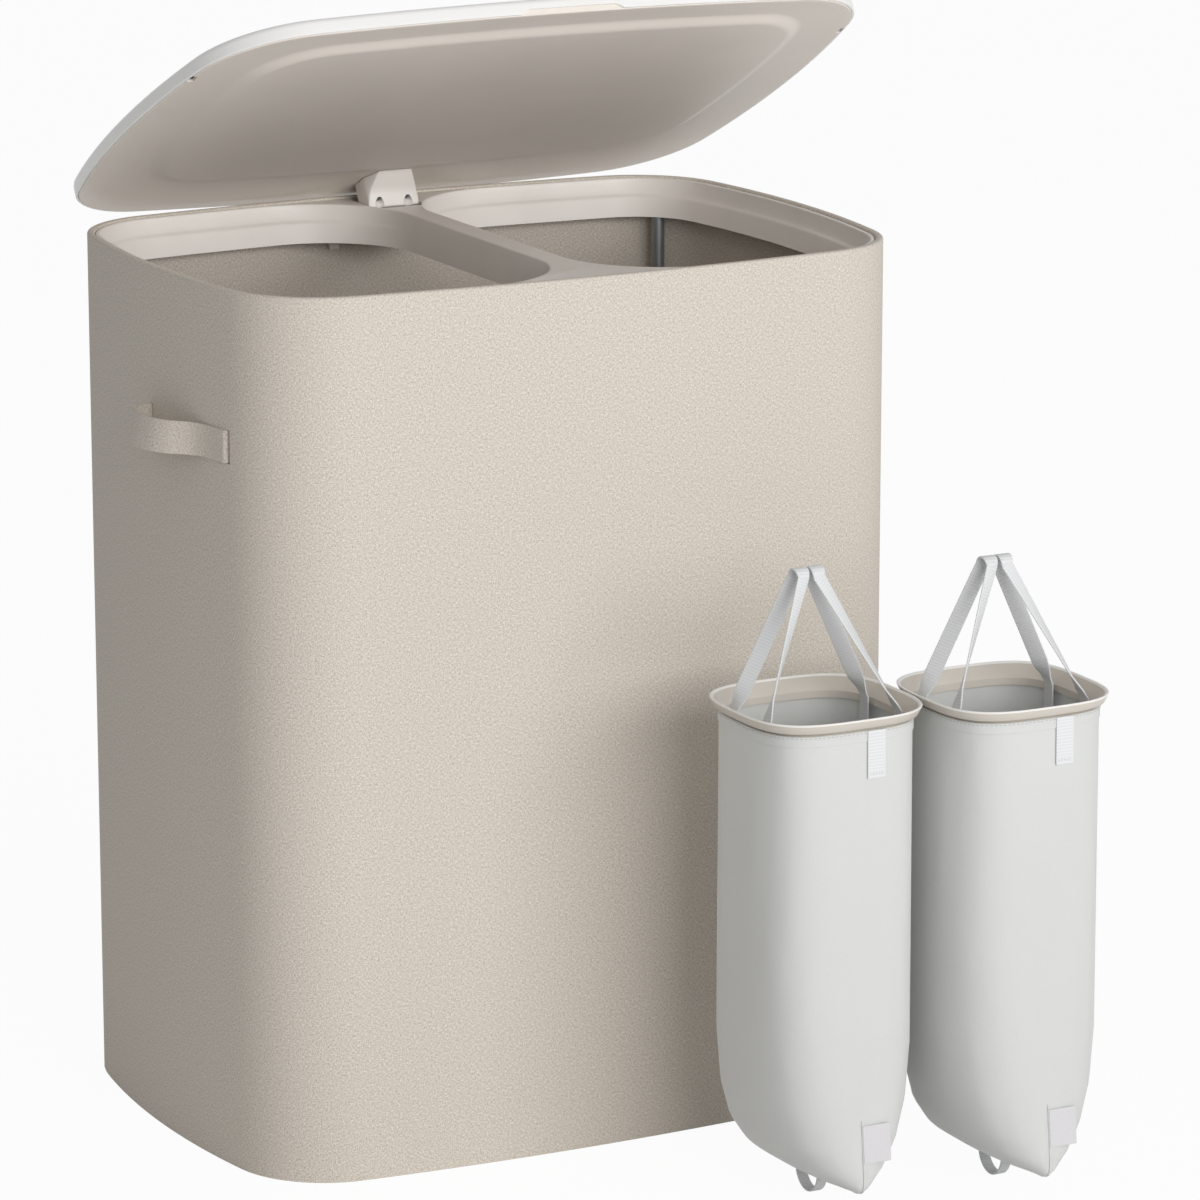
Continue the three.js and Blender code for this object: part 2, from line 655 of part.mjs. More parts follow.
// The hinge block from above, grown by a clearance, between two places along the depth.
function blockPlan(grow, front, back) {
  const slant = (BLOCK_HALF_WIDTH - BLOCK_FRONT_HALF_WIDTH) / BLOCK_BEVEL_LENGTH;
  const bevelEnd = BLOCK_FRONT + BLOCK_BEVEL_LENGTH;
  const half = BLOCK_HALF_WIDTH + grow;
  const right = [
    new THREE.Vector2(half - slant * (bevelEnd - front), front - grow),
    new THREE.Vector2(half, bevelEnd),
    new THREE.Vector2(half, back),
  ];
  return [...right, ...right.map(({ x, y }) => new THREE.Vector2(-x, y)).reverse()];
}

// A hook that snaps under the frame's flange, with a barb at its foot.
function snapHook(x) {
  const [left, right] = [x - HOOK_WIDTH / 2, x + HOOK_WIDTH / 2];
  const front = HALF_DEPTH - FRAME_INSET - FRAME_WALL;
  const back = front + FRAME_WALL - 2 * GAP;
  const foot = FLANGE_FOOT - HOOK_LENGTH;
  const blade = solid(box([left, front, foot], [right, back, FLANGE_FOOT + OVERRUN]));
  const barb = box([left, front - HOOK_BARB, foot], [right, back, foot + HOOK_BARB_HEIGHT]);
  return geometryOf(join(blade, barb));
}

// The moulded top frame: flange, top plate and two skirted mouths, the hinge's pocket between them,
// a spigot for each corner tube and two snap hooks.
function topFrame() {
  const flangeInner = bowedOutline(BODY, FRAME_INSET + FRAME_WALL);
  let frame = solid(
    loft([
      bodyRing(FRAME_INSET, FLANGE_FOOT),
      bodyRing(FRAME_INSET, FRAME_TOP - FRAME_EDGE),
      bodyRing(FRAME_INSET + FRAME_EDGE, FRAME_TOP),
    ]),
  );
  frame = cut(frame, prism(flangeInner, FLANGE_FOOT - OVERRUN, FRAME_TOP - FRAME_WALL));
  const skirtLevels = MOUTH_LEVELS.slice(3, -1);
  for (const hand of [-1, 1]) frame = join(frame, mouthLoft(skirtLevels, hand, FRAME_WALL));

  const pocketTop = FRAME_TOP - FRAME_EDGE;
  const pocketFront = BLOCK_FRONT + BLOCK_FACE_SLOPE * (BLOCK_TOP - FRAME_TOP);
  const pocketBack = HALF_DEPTH - FRAME_INSET - GAP;
  const pocket = blockPlan(RUN_GAP + POCKET_WALL, pocketFront, pocketBack);
  frame = join(frame, prism(pocket, POCKET_FOOT, pocketTop));
  const earLow = [-PIN_HALF, AXIS_Y - 2 * KNUCKLE_RADIUS, POCKET_FOOT];
  frame = join(frame, box(earLow, [PIN_HALF, pocketBack, pocketTop]));

  const spigotRadius = TUBE_RADIUS - TUBE_WALL - GAP;
  const bossTop = FLANGE_FOOT + BOSS_HEIGHT;
  for (const [, x, y] of CORNERS) {
    frame = join(frame, upright(x, y, FLANGE_FOOT, bossTop, spigotRadius + BOSS_WALL));
    frame = join(frame, upright(x, y, TUBE_TOP - SPIGOT_LENGTH, bossTop, spigotRadius));
  }
  for (const hand of [-1, 1]) {
    frame = join(frame, snapHook((hand * HOOK_SPACING) / 2));
    frame = cut(frame, mouthLoft(MOUTH_LEVELS, hand, 0));
  }
  const pocketFloor = POCKET_FOOT + POCKET_FLOOR;
  const pocketSpace = blockPlan(RUN_GAP, pocketFront, HALF_DEPTH);
  frame = cut(frame, prism(pocketSpace, pocketFloor, FRAME_TOP + OVERRUN));
  return geometryOf(cut(frame, alongAxis(PIN_HALF + GAP, PIN_RADIUS + GAP)));
}

// A round bar along the hinge axis.
const alongAxis = (half, radius) =>
  bar(new THREE.Vector3(-half, AXIS_Y, AXIS_Z), new THREE.Vector3(half, AXIS_Y, AXIS_Z), radius);

// The lid, in its closed place. One skin of the shell, pulled in by depth from its outer face.
function shellSkin(depth, foot) {
  const inset = depth - LID_OVERHANG;
  const round = LID_ROUND - depth;
  const rings = [bodyRing(inset, foot)];
  for (let i = 0; i <= EDGE_STEPS; i++) {
    const angle = (Math.PI * i) / (2 * EDGE_STEPS);
    const inward = round * (1 - Math.cos(angle));
    rings.push(bodyRing(inset + inward, LID_BAND_TOP + round * Math.sin(angle)));
  }
  const crown = bowedOutline(BODY, LID_ROUND - LID_OVERHANG);
  for (let i = 1; i < CROWN_STEPS; i++) {
    const share = 1 - i / CROWN_STEPS;
    const z = LID_BAND_TOP + round + LID_CROWN * (1 - share ** 2);
    rings.push(atHeight(crown.map((point) => point.clone().multiplyScalar(share)), z));
  }
  return loft(rings);
}

function lidShell() {
  const shell = cut(solid(shellSkin(0, LID_EDGE)), shellSkin(LID_WALL, LID_EDGE - OVERRUN));
  const half = NOTCH_WIDTH / 2;
  const fingerNotch = new THREE.Shape([
    new THREE.Vector2(-half, -OVERRUN),
    new THREE.Vector2(half, -OVERRUN),
    new THREE.Vector2(half - NOTCH_SLANT, NOTCH_HEIGHT),
    new THREE.Vector2(NOTCH_SLANT - half, NOTCH_HEIGHT),
  ]);
  const settings = { depth: 2 * OVERRUN, bevelEnabled: false };
  const cutter = new THREE.ExtrudeGeometry(fingerNotch, settings).rotateX(Math.PI / 2);
  cutter.translate(0, OVERRUN - HALF_DEPTH, LID_EDGE);
  return geometryOf(cut(shell, cutter));
}

// The raised field of the lid's panel, from its foot on the border down an S-shaped bevel.
function fieldLoft(base, grow) {
  const rings = [];
  const place = (inset, z) =>
    atHeight(
      bowedOutline(FIELD, inset).map(({ x, y }) => new THREE.Vector2(x, y + FIELD_MIDDLE)),
      z,
    );
  rings.push(place(grow, base + OVERRUN));
  for (let i = 0; i <= BEVEL_STEPS; i++) {
    const share = i / BEVEL_STEPS;
    const drop = FIELD_RISE * share ** 2 * (3 - 2 * share);
    rings.push(place(grow + FIELD_BEVEL * share, base - drop));
  }
  return loft(rings);
}

// The lid's inner panel: flat border, upturned rim inside the shell, raised field, screw bosses.
function lidPanel() {
  const inset = LID_WALL - LID_OVERHANG + GAP;
  const floor = LID_UNDERSIDE + PANEL_WALL;
  const rimTop = LID_UNDERSIDE + PANEL_RIM_HEIGHT;
  let panel = solid(
    loft([
      bodyRing(inset + PANEL_EDGE, LID_UNDERSIDE),
      bodyRing(inset, LID_UNDERSIDE + PANEL_EDGE_DROP),
      bodyRing(inset, rimTop),
    ]),
  );
  const field = solid(fieldLoft(LID_UNDERSIDE, 0));
  const below = box(
    [-BODY_WIDTH, -BODY_DEPTH, LID_UNDERSIDE - 2 * FIELD_RISE],
    [BODY_WIDTH, BODY_DEPTH, floor - PANEL_WALL / 2],
  );
  panel = panel.add(field.intersect(solid(below)));
  panel = cut(panel, prism(bowedOutline(BODY, inset + PANEL_WALL), floor, rimTop + OVERRUN));
  panel = cut(panel, fieldLoft(floor, PANEL_WALL));
  for (const x of SCREW_PLACES) {
    const tip = screwPoint(x, SCREW_SINK + SCREW_LENGTH - SCREW_BOSS_RADIUS / 2);
    const bossTop = floor + SCREW_BOSS_HEIGHT;
    panel = join(panel, upright(x, tip.y, floor - PANEL_WALL / 2, bossTop, SCREW_BOSS_RADIUS));
  }
  for (const x of SCREW_PLACES) panel = cut(panel, screwHole(x));
  for (const hand of [-1, 1]) {
    const edge = hand * (sideReachAt(SNAP_PLACE) - inset);
    const [low, high] = [edge - SNAP_DEPTH, edge + SNAP_DEPTH];
    const [front, back] = [-SNAP_PLACE - SNAP_WIDTH / 2, SNAP_WIDTH / 2 - SNAP_PLACE];
    panel = cut(panel, box([low, front, LID_UNDERSIDE - OVERRUN], [high, back, rimTop + OVERRUN]));
  }
  return geometryOf(panel);
}

// A point on a screw's axis, a distance behind the block's front face.
const screwPoint = (x, depth) =>
  new THREE.Vector3(x, SCREW_Y, AXIS_Z + SCREW_PLACE).addScaledVector(SCREW_DIRECTION, depth);
const screwHole = (x) =>
  bar(screwPoint(x, 0), screwPoint(x, SCREW_SINK + SCREW_LENGTH + GAP), SCREW_RADIUS + GAP);

// The hinge block: a wedge under the lid, with a sloped and a steep front face, and an arm back to
// the knuckle. It narrows in plan towards the front and is bored for the pin and two sunk screws.
function hingeBlock() {
  const top = BLOCK_TOP - AXIS_Z;
  const front = BLOCK_FRONT - AXIS_Y;
  const face = new THREE.Vector2(front + BLOCK_SLOPE, BLOCK_FOOT_HEIGHT);
  const foot = new THREE.Vector2(face.x + BLOCK_FOOT_BEVEL, -KNUCKLE_RADIUS);
  const toTop = new THREE.Vector2(front, top).sub(face).setLength(BLOCK_EDGE).add(face);
  const toFoot = foot.clone().sub(face).setLength(BLOCK_EDGE).add(face);
  const armAngle = Math.PI + Math.asin(ARM_GAP / KNUCKLE_RADIUS);
  const section = new THREE.Shape();
  section.moveTo(front, top);
  section.lineTo(toTop.x, toTop.y);
  section.quadraticCurveTo(face.x, face.y, toFoot.x, toFoot.y);
  section.lineTo(foot.x, foot.y);
  section.lineTo(0, -KNUCKLE_RADIUS);
  section.absarc(0, 0, KNUCKLE_RADIUS, -Math.PI / 2, armAngle);
  section.lineTo(-ARM_REACH, -ARM_GAP);
  section.lineTo(-ARM_REACH, top);
  const settings = { depth: 2 * BLOCK_HALF_WIDTH, bevelEnabled: false, curveSegments: BEND_STEPS };
  const bodyShape = new THREE.ExtrudeGeometry(section, settings);
  bodyShape.translate(0, 0, -BLOCK_HALF_WIDTH);
  const acrossX = new THREE.Matrix4();
  acrossX.makeBasis(new THREE.Vector3(0, 1, 0), new THREE.Vector3(0, 0, 1), new THREE.Vector3(1, 0, 0));
  bodyShape.applyMatrix4(acrossX).translate(0, AXIS_Y, AXIS_Z);
  const plan = prism(blockPlan(0, BLOCK_FRONT, HALF_DEPTH), POCKET_FOOT, BLOCK_TOP + OVERRUN);
  let block = solid(bodyShape).intersect(solid(plan));
  block = cut(block, alongAxis(PIN_HALF, PIN_RADIUS + GAP));
  for (const x of SCREW_PLACES) {
    const sink = bar(screwPoint(x, -OVERRUN), screwPoint(x, SCREW_SINK), SCREW_HEAD_RADIUS + 2 * GAP);
    block = cut(block, sink, screwHole(x));
  }
  return geometryOf(block);
}

// A screw along +Z from the block's front face: a slotted head and a plain shank.
function hingeScrew() {
  const seat = SCREW_SINK - GAP;
  const headTop = seat - SCREW_HEAD;
  const head = solid(upright(0, 0, headTop, seat, SCREW_HEAD_RADIUS));
  const shank = upright(0, 0, seat - SCREW_HEAD / 2, SCREW_SINK + SCREW_LENGTH, SCREW_RADIUS);
  const slotLow = [-SCREW_HEAD_RADIUS - GAP, -SCREW_SLOT / 2, headTop - GAP];
  const slotHigh = [SCREW_HEAD_RADIUS + GAP, SCREW_SLOT / 2, headTop + SCREW_HEAD / 2];
  return geometryOf(cut(join(head, shank), box(slotLow, slotHigh)));
}

// The size of a bag's cloth at a height, between the sections that the shares give.
function clothAt(z) {
  const share = (z - BAG_SEAM_HEIGHT) / (CLOTH_TOP - BAG_SEAM_HEIGHT);
  const next = Math.max(1, BAG_SECTION_SHARES.findIndex(([height]) => height >= share));
  const [low, high] = [BAG_SECTION_SHARES[next - 1], BAG_SECTION_SHARES[next]];
  const mix = (share - low[0]) / (high[0] - low[0]);
  const [, width, depth, roundness] = low.map((value, i) => value + (high[i] - value) * mix);
  return { width: width * CLOTH_WIDTH, depth: depth * CLOTH_DEPTH, roundness };
}

// The cloth of a bag, open at the top, flattened to a seam at the bottom.
function bagCloth() {
  const skin = (wall, floor, top) => {
    const sections = BAG_SECTION_SHARES.slice(wall ? 1 : 0);
    const rings = sections.map(([height, width, depth, roundness]) => {
      const outline = oval(width * CLOTH_WIDTH - 2 * wall, depth * CLOTH_DEPTH - 2 * wall, roundness);
      return atHeight(outline, floor + height * (CLOTH_TOP - floor));
    });
    if (top > CLOTH_TOP) rings.push(rings.at(-1).map(({ x, y }) => new THREE.Vector3(x, y, top)));
    return loft(rings);
  };
  const outer = skin(0, BAG_SEAM_HEIGHT, CLOTH_TOP);
  const inner = skin(BAG_WALL, BAG_SEAM_HEIGHT + BAG_FLOOR, CLOTH_TOP + OVERRUN);
  return geometryOf(cut(solid(outer), inner));
}

// The flared rim of a bag: a band round the top, a funnel, and a neck inside the cloth.
function bagRim() {
  const neckInner = NECK_INSET + RIM_WALL;
  const section = [
    [RIM_TAPER, RIM_BAND],
    [0, RIM_EDGE],
    [RIM_EDGE / 2, 0],
    [RIM_WALL, 0],
    [neckInner, RIM_FUNNEL_DEPTH],
    [neckInner, RIM_NECK_DEPTH],
    [NECK_INSET, RIM_NECK_DEPTH],
    [NECK_INSET, RIM_FUNNEL_DEPTH],
  ];
  return loft(
    section.map(([inset, depth]) => {
      const outline = oval(BAG_RIM_WIDTH - 2 * inset, BAG_RIM_DEPTH - 2 * inset, RIM_ROUNDNESS);
      return atHeight(outline, BAG_RIM_HEIGHT - depth);
    }),
    { loop: true },
  );
}

// A strap loop: two legs rise from inside the rim, lean to the middle and meet over a small bend,
// while the webbing turns by half a turn, the same way in both loops.
function bagStrap(hand) {
  const neckWidth = BAG_RIM_WIDTH / 2 - NECK_INSET - RIM_WALL;
  const neckDepth = BAG_RIM_DEPTH / 2 - NECK_INSET - RIM_WALL;
  const edge = (STRAP_SPACING + STRAP_WIDTH) / 2;
  const neckReach =
    neckWidth * (1 - (edge / neckDepth) ** (2 / RIM_ROUNDNESS)) ** (RIM_ROUNDNESS / 2);
  const footX = neckReach - 2 * GAP - STRAP_THICKNESS / 2;
  const topX = (STRAP_LEAN_GAP + STRAP_WIDTH) / 2 + hand * STRAP_SIDE;
  const [footY, bend] = [STRAP_SPACING / 2, STRAP_TOP_SPACING / 2];
  const neckFoot = BAG_RIM_HEIGHT - RIM_NECK_DEPTH;
  const bendZ = BAG_RIM_HEIGHT + STRAP_RISE - bend - STRAP_THICKNESS / 2;
  const leg = [new THREE.Vector3(footX, -footY, BAG_RIM_HEIGHT - STRAP_TUCK)];
  for (let i = 0; i < LEG_STEPS; i++) {
    const share = i / LEG_STEPS;
    const x = THREE.MathUtils.lerp(footX, topX, share);
    const y = THREE.MathUtils.lerp(-footY, -bend, share);
    const z = THREE.MathUtils.lerp(BAG_RIM_HEIGHT - RIM_FUNNEL_DEPTH, bendZ, share);
    leg.push(new THREE.Vector3(x, y, Math.max(z, neckFoot)));
  }
  const path = [...leg];
  for (let i = 0; i <= BEND_STEPS; i++) {
    const angle = Math.PI * (1 - i / BEND_STEPS);
    path.push(new THREE.Vector3(topX, bend * Math.cos(angle), bendZ + bend * Math.sin(angle)));
  }
  for (const { x, y, z } of leg.reverse()) path.push(new THREE.Vector3(x, -y, z));
  const placed = path.map(({ x, y, z }) => new THREE.Vector3(hand * x, y, z));
  return ribbon(placed, STRAP_WIDTH, STRAP_THICKNESS, (share) => {
    const turn = Math.PI * valueAt(STRAP_TURN_SHARES, share);
    return new THREE.Vector3(Math.sin(turn), Math.cos(turn), 0);
  });
}

// A strip of webbing down the front of a bag's cloth, from a height down to another.
function frontStrip(x, z0, z1, width, thickness) {
  const path = [];
  for (let i = 0; i <= STRIP_STEPS; i++) {
    const z = THREE.MathUtils.lerp(z0, z1, i / STRIP_STEPS);
    path.push(new THREE.Vector3(x, -clothAt(z).depth / 2 - GAP - thickness / 2, z));
  }
  return ribbon(path, width, thickness, () => new THREE.Vector3(1, 0, 0));
}

const bagTab = () =>
  frontStrip(TAB_SIDE, CLOTH_TOP, CLOTH_TOP - TAB_LENGTH, TAB_WIDTH, TAB_THICKNESS);
function bagLabel() {
  const top = LABEL_HEIGHT + LABEL_LENGTH;
  return frontStrip(LABEL_WIDTH / 2, top, LABEL_HEIGHT, LABEL_WIDTH, LABEL_THICKNESS);
}

// The pull loop: webbing that hangs from the bottom seam down to the floor.
function bagPullLoop() {
  const top = BAG_SEAM_HEIGHT - GAP;
  const drop = top - PULL_THICKNESS / 2;
  const half = (PULL_SPAN - PULL_THICKNESS) / 2;
  const path = [];
  for (let i = 0; i <= 2 * BEND_STEPS; i++) {
    const angle = (Math.PI * i) / (2 * BEND_STEPS);
    path.push(new THREE.Vector3(0, -half * Math.cos(angle), top - drop * Math.sin(angle)));
  }
  return ribbon(path, PULL_WIDTH, PULL_THICKNESS, () => new THREE.Vector3(1, 0, 0));
}

// The hamper, with the lid's group turned open about the hinge axis, and the bags where they stand.
const hamper = new THREE.Group();

function add(name, geometry, look, parent = hamper) {
  const mesh = new THREE.Mesh(toCreasedNormals(geometry, CREASE_ANGLE), look);
  mesh.name = name;
  parent.add(mesh);
  return mesh;
}

add("fabric_body", fabricBody(), linen);
add("fabric_bottom", fabricBottom(), linen);
add("side_handle_left", sideHandle(-1), linen);
add("side_handle_right", sideHandle(1), linen);
add("base_tray", baseTray(), palePlastic);
for (const [corner, x, y] of CORNERS) add(`corner_tube_${corner}`, cornerTube(x, y), zincSteel);
add("top_frame", topFrame(), palePlastic);
add("hinge_pin", alongAxis(PIN_HALF, PIN_RADIUS), zincSteel);

const lid = new THREE.Group();
lid.position.set(0, AXIS_Y, AXIS_Z);
lid.rotation.x = -LID_OPEN;
const closedLid = new THREE.Group();
closedLid.position.set(0, -AXIS_Y, -AXIS_Z);
lid.add(closedLid);
hamper.add(lid);
add("lid_shell", lidShell(), whitePlastic, closedLid);
add("lid_panel", lidPanel(), panelPlastic, closedLid);
add("hinge_block", hingeBlock(), palePlastic, closedLid);
for (const x of SCREW_PLACES) {
  const screw = add(`hinge_screw_${x < 0 ? "left" : "right"}`, hingeScrew(), zincSteel, closedLid);
  screw.position.copy(screwPoint(x, 0));
  screw.rotation.x = SCREW_ANGLE - Math.PI / 2;
}

const BAG_Y = -HALF_DEPTH - BAG_FORWARD;
const BAGS = [
  ["bag_left", BAG_SIDE, BAG_Y],
  ["bag_right", BAG_SIDE + BAG_RIM_WIDTH + BAG_APART, BAG_Y - BAG_STAGGER],
];
for (const [name, x, y] of BAGS) {
  const bag = new THREE.Group();
  bag.position.set(x, y, 0);
  hamper.add(bag);
  add(`${name}_cloth`, bagCloth(), whiteCloth, bag);
  add(`${name}_rim`, bagRim(), palePlastic, bag);
  add(`${name}_strap_left`, bagStrap(-1), webbing, bag);
  add(`${name}_strap_right`, bagStrap(1), webbing, bag);
  add(`${name}_tab`, bagTab(), webbing, bag);
  add(`${name}_label`, bagLabel(), webbing, bag);
  add(`${name}_pull_loop`, bagPullLoop(), webbing, bag);
}

export default hamper;
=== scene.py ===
# %% [markdown]
# A tall laundry hamper with two bins, dressed over its CAD model. Every piece keeps the place that
# the CAD gives it, and each cell adds one piece or one finish.

import math

import bmesh
import bpy
from mathutils import Matrix, Vector


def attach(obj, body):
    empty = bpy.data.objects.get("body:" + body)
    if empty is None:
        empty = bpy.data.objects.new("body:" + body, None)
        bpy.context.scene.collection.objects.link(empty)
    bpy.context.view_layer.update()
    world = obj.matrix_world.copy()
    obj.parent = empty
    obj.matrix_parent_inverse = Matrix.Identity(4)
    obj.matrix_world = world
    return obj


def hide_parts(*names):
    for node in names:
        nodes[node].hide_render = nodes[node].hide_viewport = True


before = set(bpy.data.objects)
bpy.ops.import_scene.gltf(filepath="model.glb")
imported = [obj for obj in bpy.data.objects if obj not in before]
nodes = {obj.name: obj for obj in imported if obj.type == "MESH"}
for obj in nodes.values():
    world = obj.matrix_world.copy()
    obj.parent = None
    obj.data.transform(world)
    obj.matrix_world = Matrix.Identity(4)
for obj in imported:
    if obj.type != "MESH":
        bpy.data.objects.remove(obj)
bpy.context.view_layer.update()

# %% [markdown]
# The camera comes first, so that each piece can be judged in the photograph's view. It stands to
# the front left, a little above the rim, far away behind a long lens.

# %% Camera
LENS, SENSOR_WIDTH = 175.46, 36
CAMERA_PLACE, CAMERA_WAY = (-1.9864, -3.9908, 1.4628), Vector((0.4505, 0.8613, -0.2348))


def added(name, data):
    made = bpy.data.objects.new(name, data)
    bpy.context.scene.collection.objects.link(made)
    return made


def aimed(name, data, place, way):
    made = added(name, data)
    made.location = place
    made.rotation_mode = "QUATERNION"
    made.rotation_quaternion = way.to_track_quat("-Z", "Y")
    return made


camera_data = bpy.data.cameras.new("camera")
camera_data.lens = LENS
camera_data.sensor_width = SENSOR_WIDTH
camera = aimed("camera", camera_data, CAMERA_PLACE, CAMERA_WAY)
bpy.context.scene.camera = camera
bpy.context.scene.view_settings.view_transform = "Standard"
print("camera at", tuple(camera.location))


# %% [markdown]
# Colours are picked as sRGB hex values, but shaders count in linear light. One function turns the
# one into the other, and one more adds a node with its settings and its links.

# %% Colour and node helpers
def colour(code):
    channels = [int(code[i : i + 2], 16) / 255 for i in (1, 3, 5)]
    linear = [c / 12.92 if c <= 0.04045 else ((c + 0.055) / 1.055) ** 2.4 for c in channels]
    return (*linear, 1)


def node(tree, kind, inputs=None, **settings):
    made = tree.nodes.new("ShaderNode" + kind)
    for name, value in settings.items():
        setattr(made, name, value)
    for key, value in (inputs or {}).items():
        if isinstance(value, bpy.types.NodeSocket):
            tree.links.new(value, made.inputs[key])
        else:
            made.inputs[key].default_value = value
    return made


print("white is", colour("#FFFFFF"))

# %% [markdown]
# The hamper stands in a white studio. One broad lamp in front gives the soft turn from the bright
# front to the shaded side. The room shows as white wherever a ray looks past the object, but it
# lights the object at a lower level, which leaves the lamp its soft shadows.

# %% Room and lamp
AMBIENT = 0.38
LAMP_PLACE, LAMP_TARGET = Vector((0.45, -4.1, 1.6)), Vector((0, 0, 0.6))
LAMP_WIDTH, LAMP_HEIGHT, LAMP_POWER = 3.6, 1.7, 118


def looks_past(tree):
    """1 for rays from the camera, in gloss or through clear pieces, and 0 for diffuse light."""
    ray = node(tree, "LightPath")
    past = ray.outputs["Is Camera Ray"]
    for kind in ("Is Glossy Ray", "Is Transmission Ray"):
        past = node(tree, "Math", {0: past, 1: ray.outputs[kind]}, operation="MAXIMUM").outputs[0]
    return past


world = bpy.data.worlds.new("studio")
world.use_nodes = True
bpy.context.scene.world = world
room = world.node_tree
room.nodes.clear()
strength = node(room, "MapRange", {"Value": looks_past(room), "To Min": AMBIENT, "To Max": 1})
white = node(room, "Background", {"Color": colour("#FFFFFF"), "Strength": strength.outputs[0]})
node(room, "OutputWorld", {"Surface": white.outputs[0]})

lamp_data = bpy.data.lights.new("front_lamp", "AREA")
lamp_data.shape = "RECTANGLE"
lamp_data.size, lamp_data.size_y = LAMP_WIDTH, LAMP_HEIGHT
lamp_data.energy = LAMP_POWER
aimed("front_lamp", lamp_data, LAMP_PLACE, LAMP_TARGET - LAMP_PLACE)
print("lamp of", LAMP_POWER, "watts, room at", AMBIENT)

# %% [markdown]
# The floor is a plain white sheet. To the camera it mostly glows, so that it meets the room without
# an edge, and the small rest is painted white and keeps the object's shadow.

# %% Floor
FLOOR_SIZE, FLOOR_GLOW = 30, 0.95
floor_bm = bmesh.new()
bmesh.ops.create_grid(floor_bm, x_segments=1, y_segments=1, size=FLOOR_SIZE)
floor_mesh = bpy.data.meshes.new("floor")
floor_bm.to_mesh(floor_mesh)
floor_bm.free()
floor = added("floor", floor_mesh)

floor_finish = bpy.data.materials.new("white_studio_floor")
floor_finish.use_nodes = True
tree = floor_finish.node_tree
tree.nodes.clear()
share = node(tree, "Math", {0: looks_past(tree), 1: FLOOR_GLOW}, operation="MULTIPLY")
paint = node(tree, "BsdfDiffuse", {"Color": colour("#F7F7F7")})
glow = node(tree, "Emission", {"Color": colour("#FFFFFF"), "Strength": 1})
mixed = node(tree, "MixShader", {0: share.outputs[0], 1: paint.outputs[0], 2: glow.outputs[0]})
node(tree, "OutputMaterial", {"Surface": mixed.outputs[0]})
floor_mesh.materials.append(floor_finish)
print("floor wears", floor_finish.name)

# %% [markdown]
# Nearly every finish is a noise with two jobs: it mixes two close tones, and it raises the surface
# a little. Moulded pieces read the noise in space. Cloth reads it in its unrolled weave, so that
# the threads follow every bend. All lengths are in millimetres.

# %% Finish helpers
MM = 0.001


def new_finish(name, settings):
    finish = bpy.data.materials.new(name)
    finish.use_nodes = True
    shader = finish.node_tree.nodes["Principled BSDF"]
    for key, value in {"IOR": 1.5, **settings}.items():
        shader.inputs[key].default_value = value
    return finish, finish.node_tree, shader


def noise(tree, vector, scale, detail, roughness=0.5):
    settings = {"Vector": vector, "Scale": scale, "Detail": detail, "Roughness": roughness}
    return node(tree, "TexNoise", settings).outputs["Fac"]


def space_noise(tree, size):
    place = node(tree, "TexCoord")
    return noise(tree, place.outputs["Object"], 1 / (size * MM), 2)


def weave_noise(tree, width, length, detail, roughness=0.5):
    weave = node(tree, "UVMap", uv_map="weave")
    scale = (1 / (width * MM), 1 / (length * MM), 1)
    stretched = node(tree, "Mapping", {"Vector": weave.outputs[0], "Scale": scale})
    return noise(tree, stretched.outputs[0], 1, detail, roughness)


def two_tones(tree, shader, factor, dark, light, low=0, high=1):
    ramp = node(tree, "ValToRGB", {"Fac": factor})
    for stop, tone, position in zip(ramp.color_ramp.elements, (dark, light), (low, high)):
        stop.color = colour(tone)
        stop.position = position
    tree.links.new(ramp.outputs["Color"], shader.inputs["Base Color"])


def raised(tree, shader, height, strength, distance, **below):
    settings = {"Height": height, "Strength": strength, "Distance": distance * MM, **below}
    bump = node(tree, "Bump", settings)
    tree.links.new(bump.outputs["Normal"], shader.inputs["Normal"])


print("a grain of 1 mm has the scale", 1 / MM)

# %% [markdown]
# The sleeve is woven from flax yarn, which is uneven: each thread swells and thins, so the cloth
# looks flecked from afar. Two noises, each stretched along one way of the weave, draw those
# threads. The real 0.5 mm threads are too fine to show here, so they are drawn 0.8 mm thick.

# %% Linen finish
THREAD, SLUB, FLECK = 0.8, 1.9, 0.7
linen, tree, shader = new_finish("woven_linen", {
    "Roughness": 0.9, "Sheen Weight": 0.05, "Sheen Roughness": 0.6})
warp = weave_noise(tree, THREAD, SLUB, 3, 0.65)
weft = weave_noise(tree, SLUB, THREAD, 3, 0.65)
crossed = node(tree, "Math", {0: warp, 1: weft}, operation="ADD").outputs[0]
contrast = node(tree, "MapRange", {"Value": crossed, "From Min": 1 - FLECK / 3,
                                   "From Max": 1 + FLECK / 3})
two_tones(tree, shader, contrast.outputs[0], "#B3AA9D", "#E8E0D6")
raised(tree, shader, crossed, 0.5, 0.6)
print("made", linen.name)

# %% [markdown]
# The frame, the lid's panel and the hinge are moulded polypropylene with a satin skin. The mould
# was spark eroded, which leaves a grain of about 0.3 mm. It breaks up the gloss a little and never
# shows as lines. The lid's shell is the same plastic from a smoother mould.

# %% Moulded plastic finishes
CLOUD_SIZE, GLOSS_SPREAD = 60, 0.06


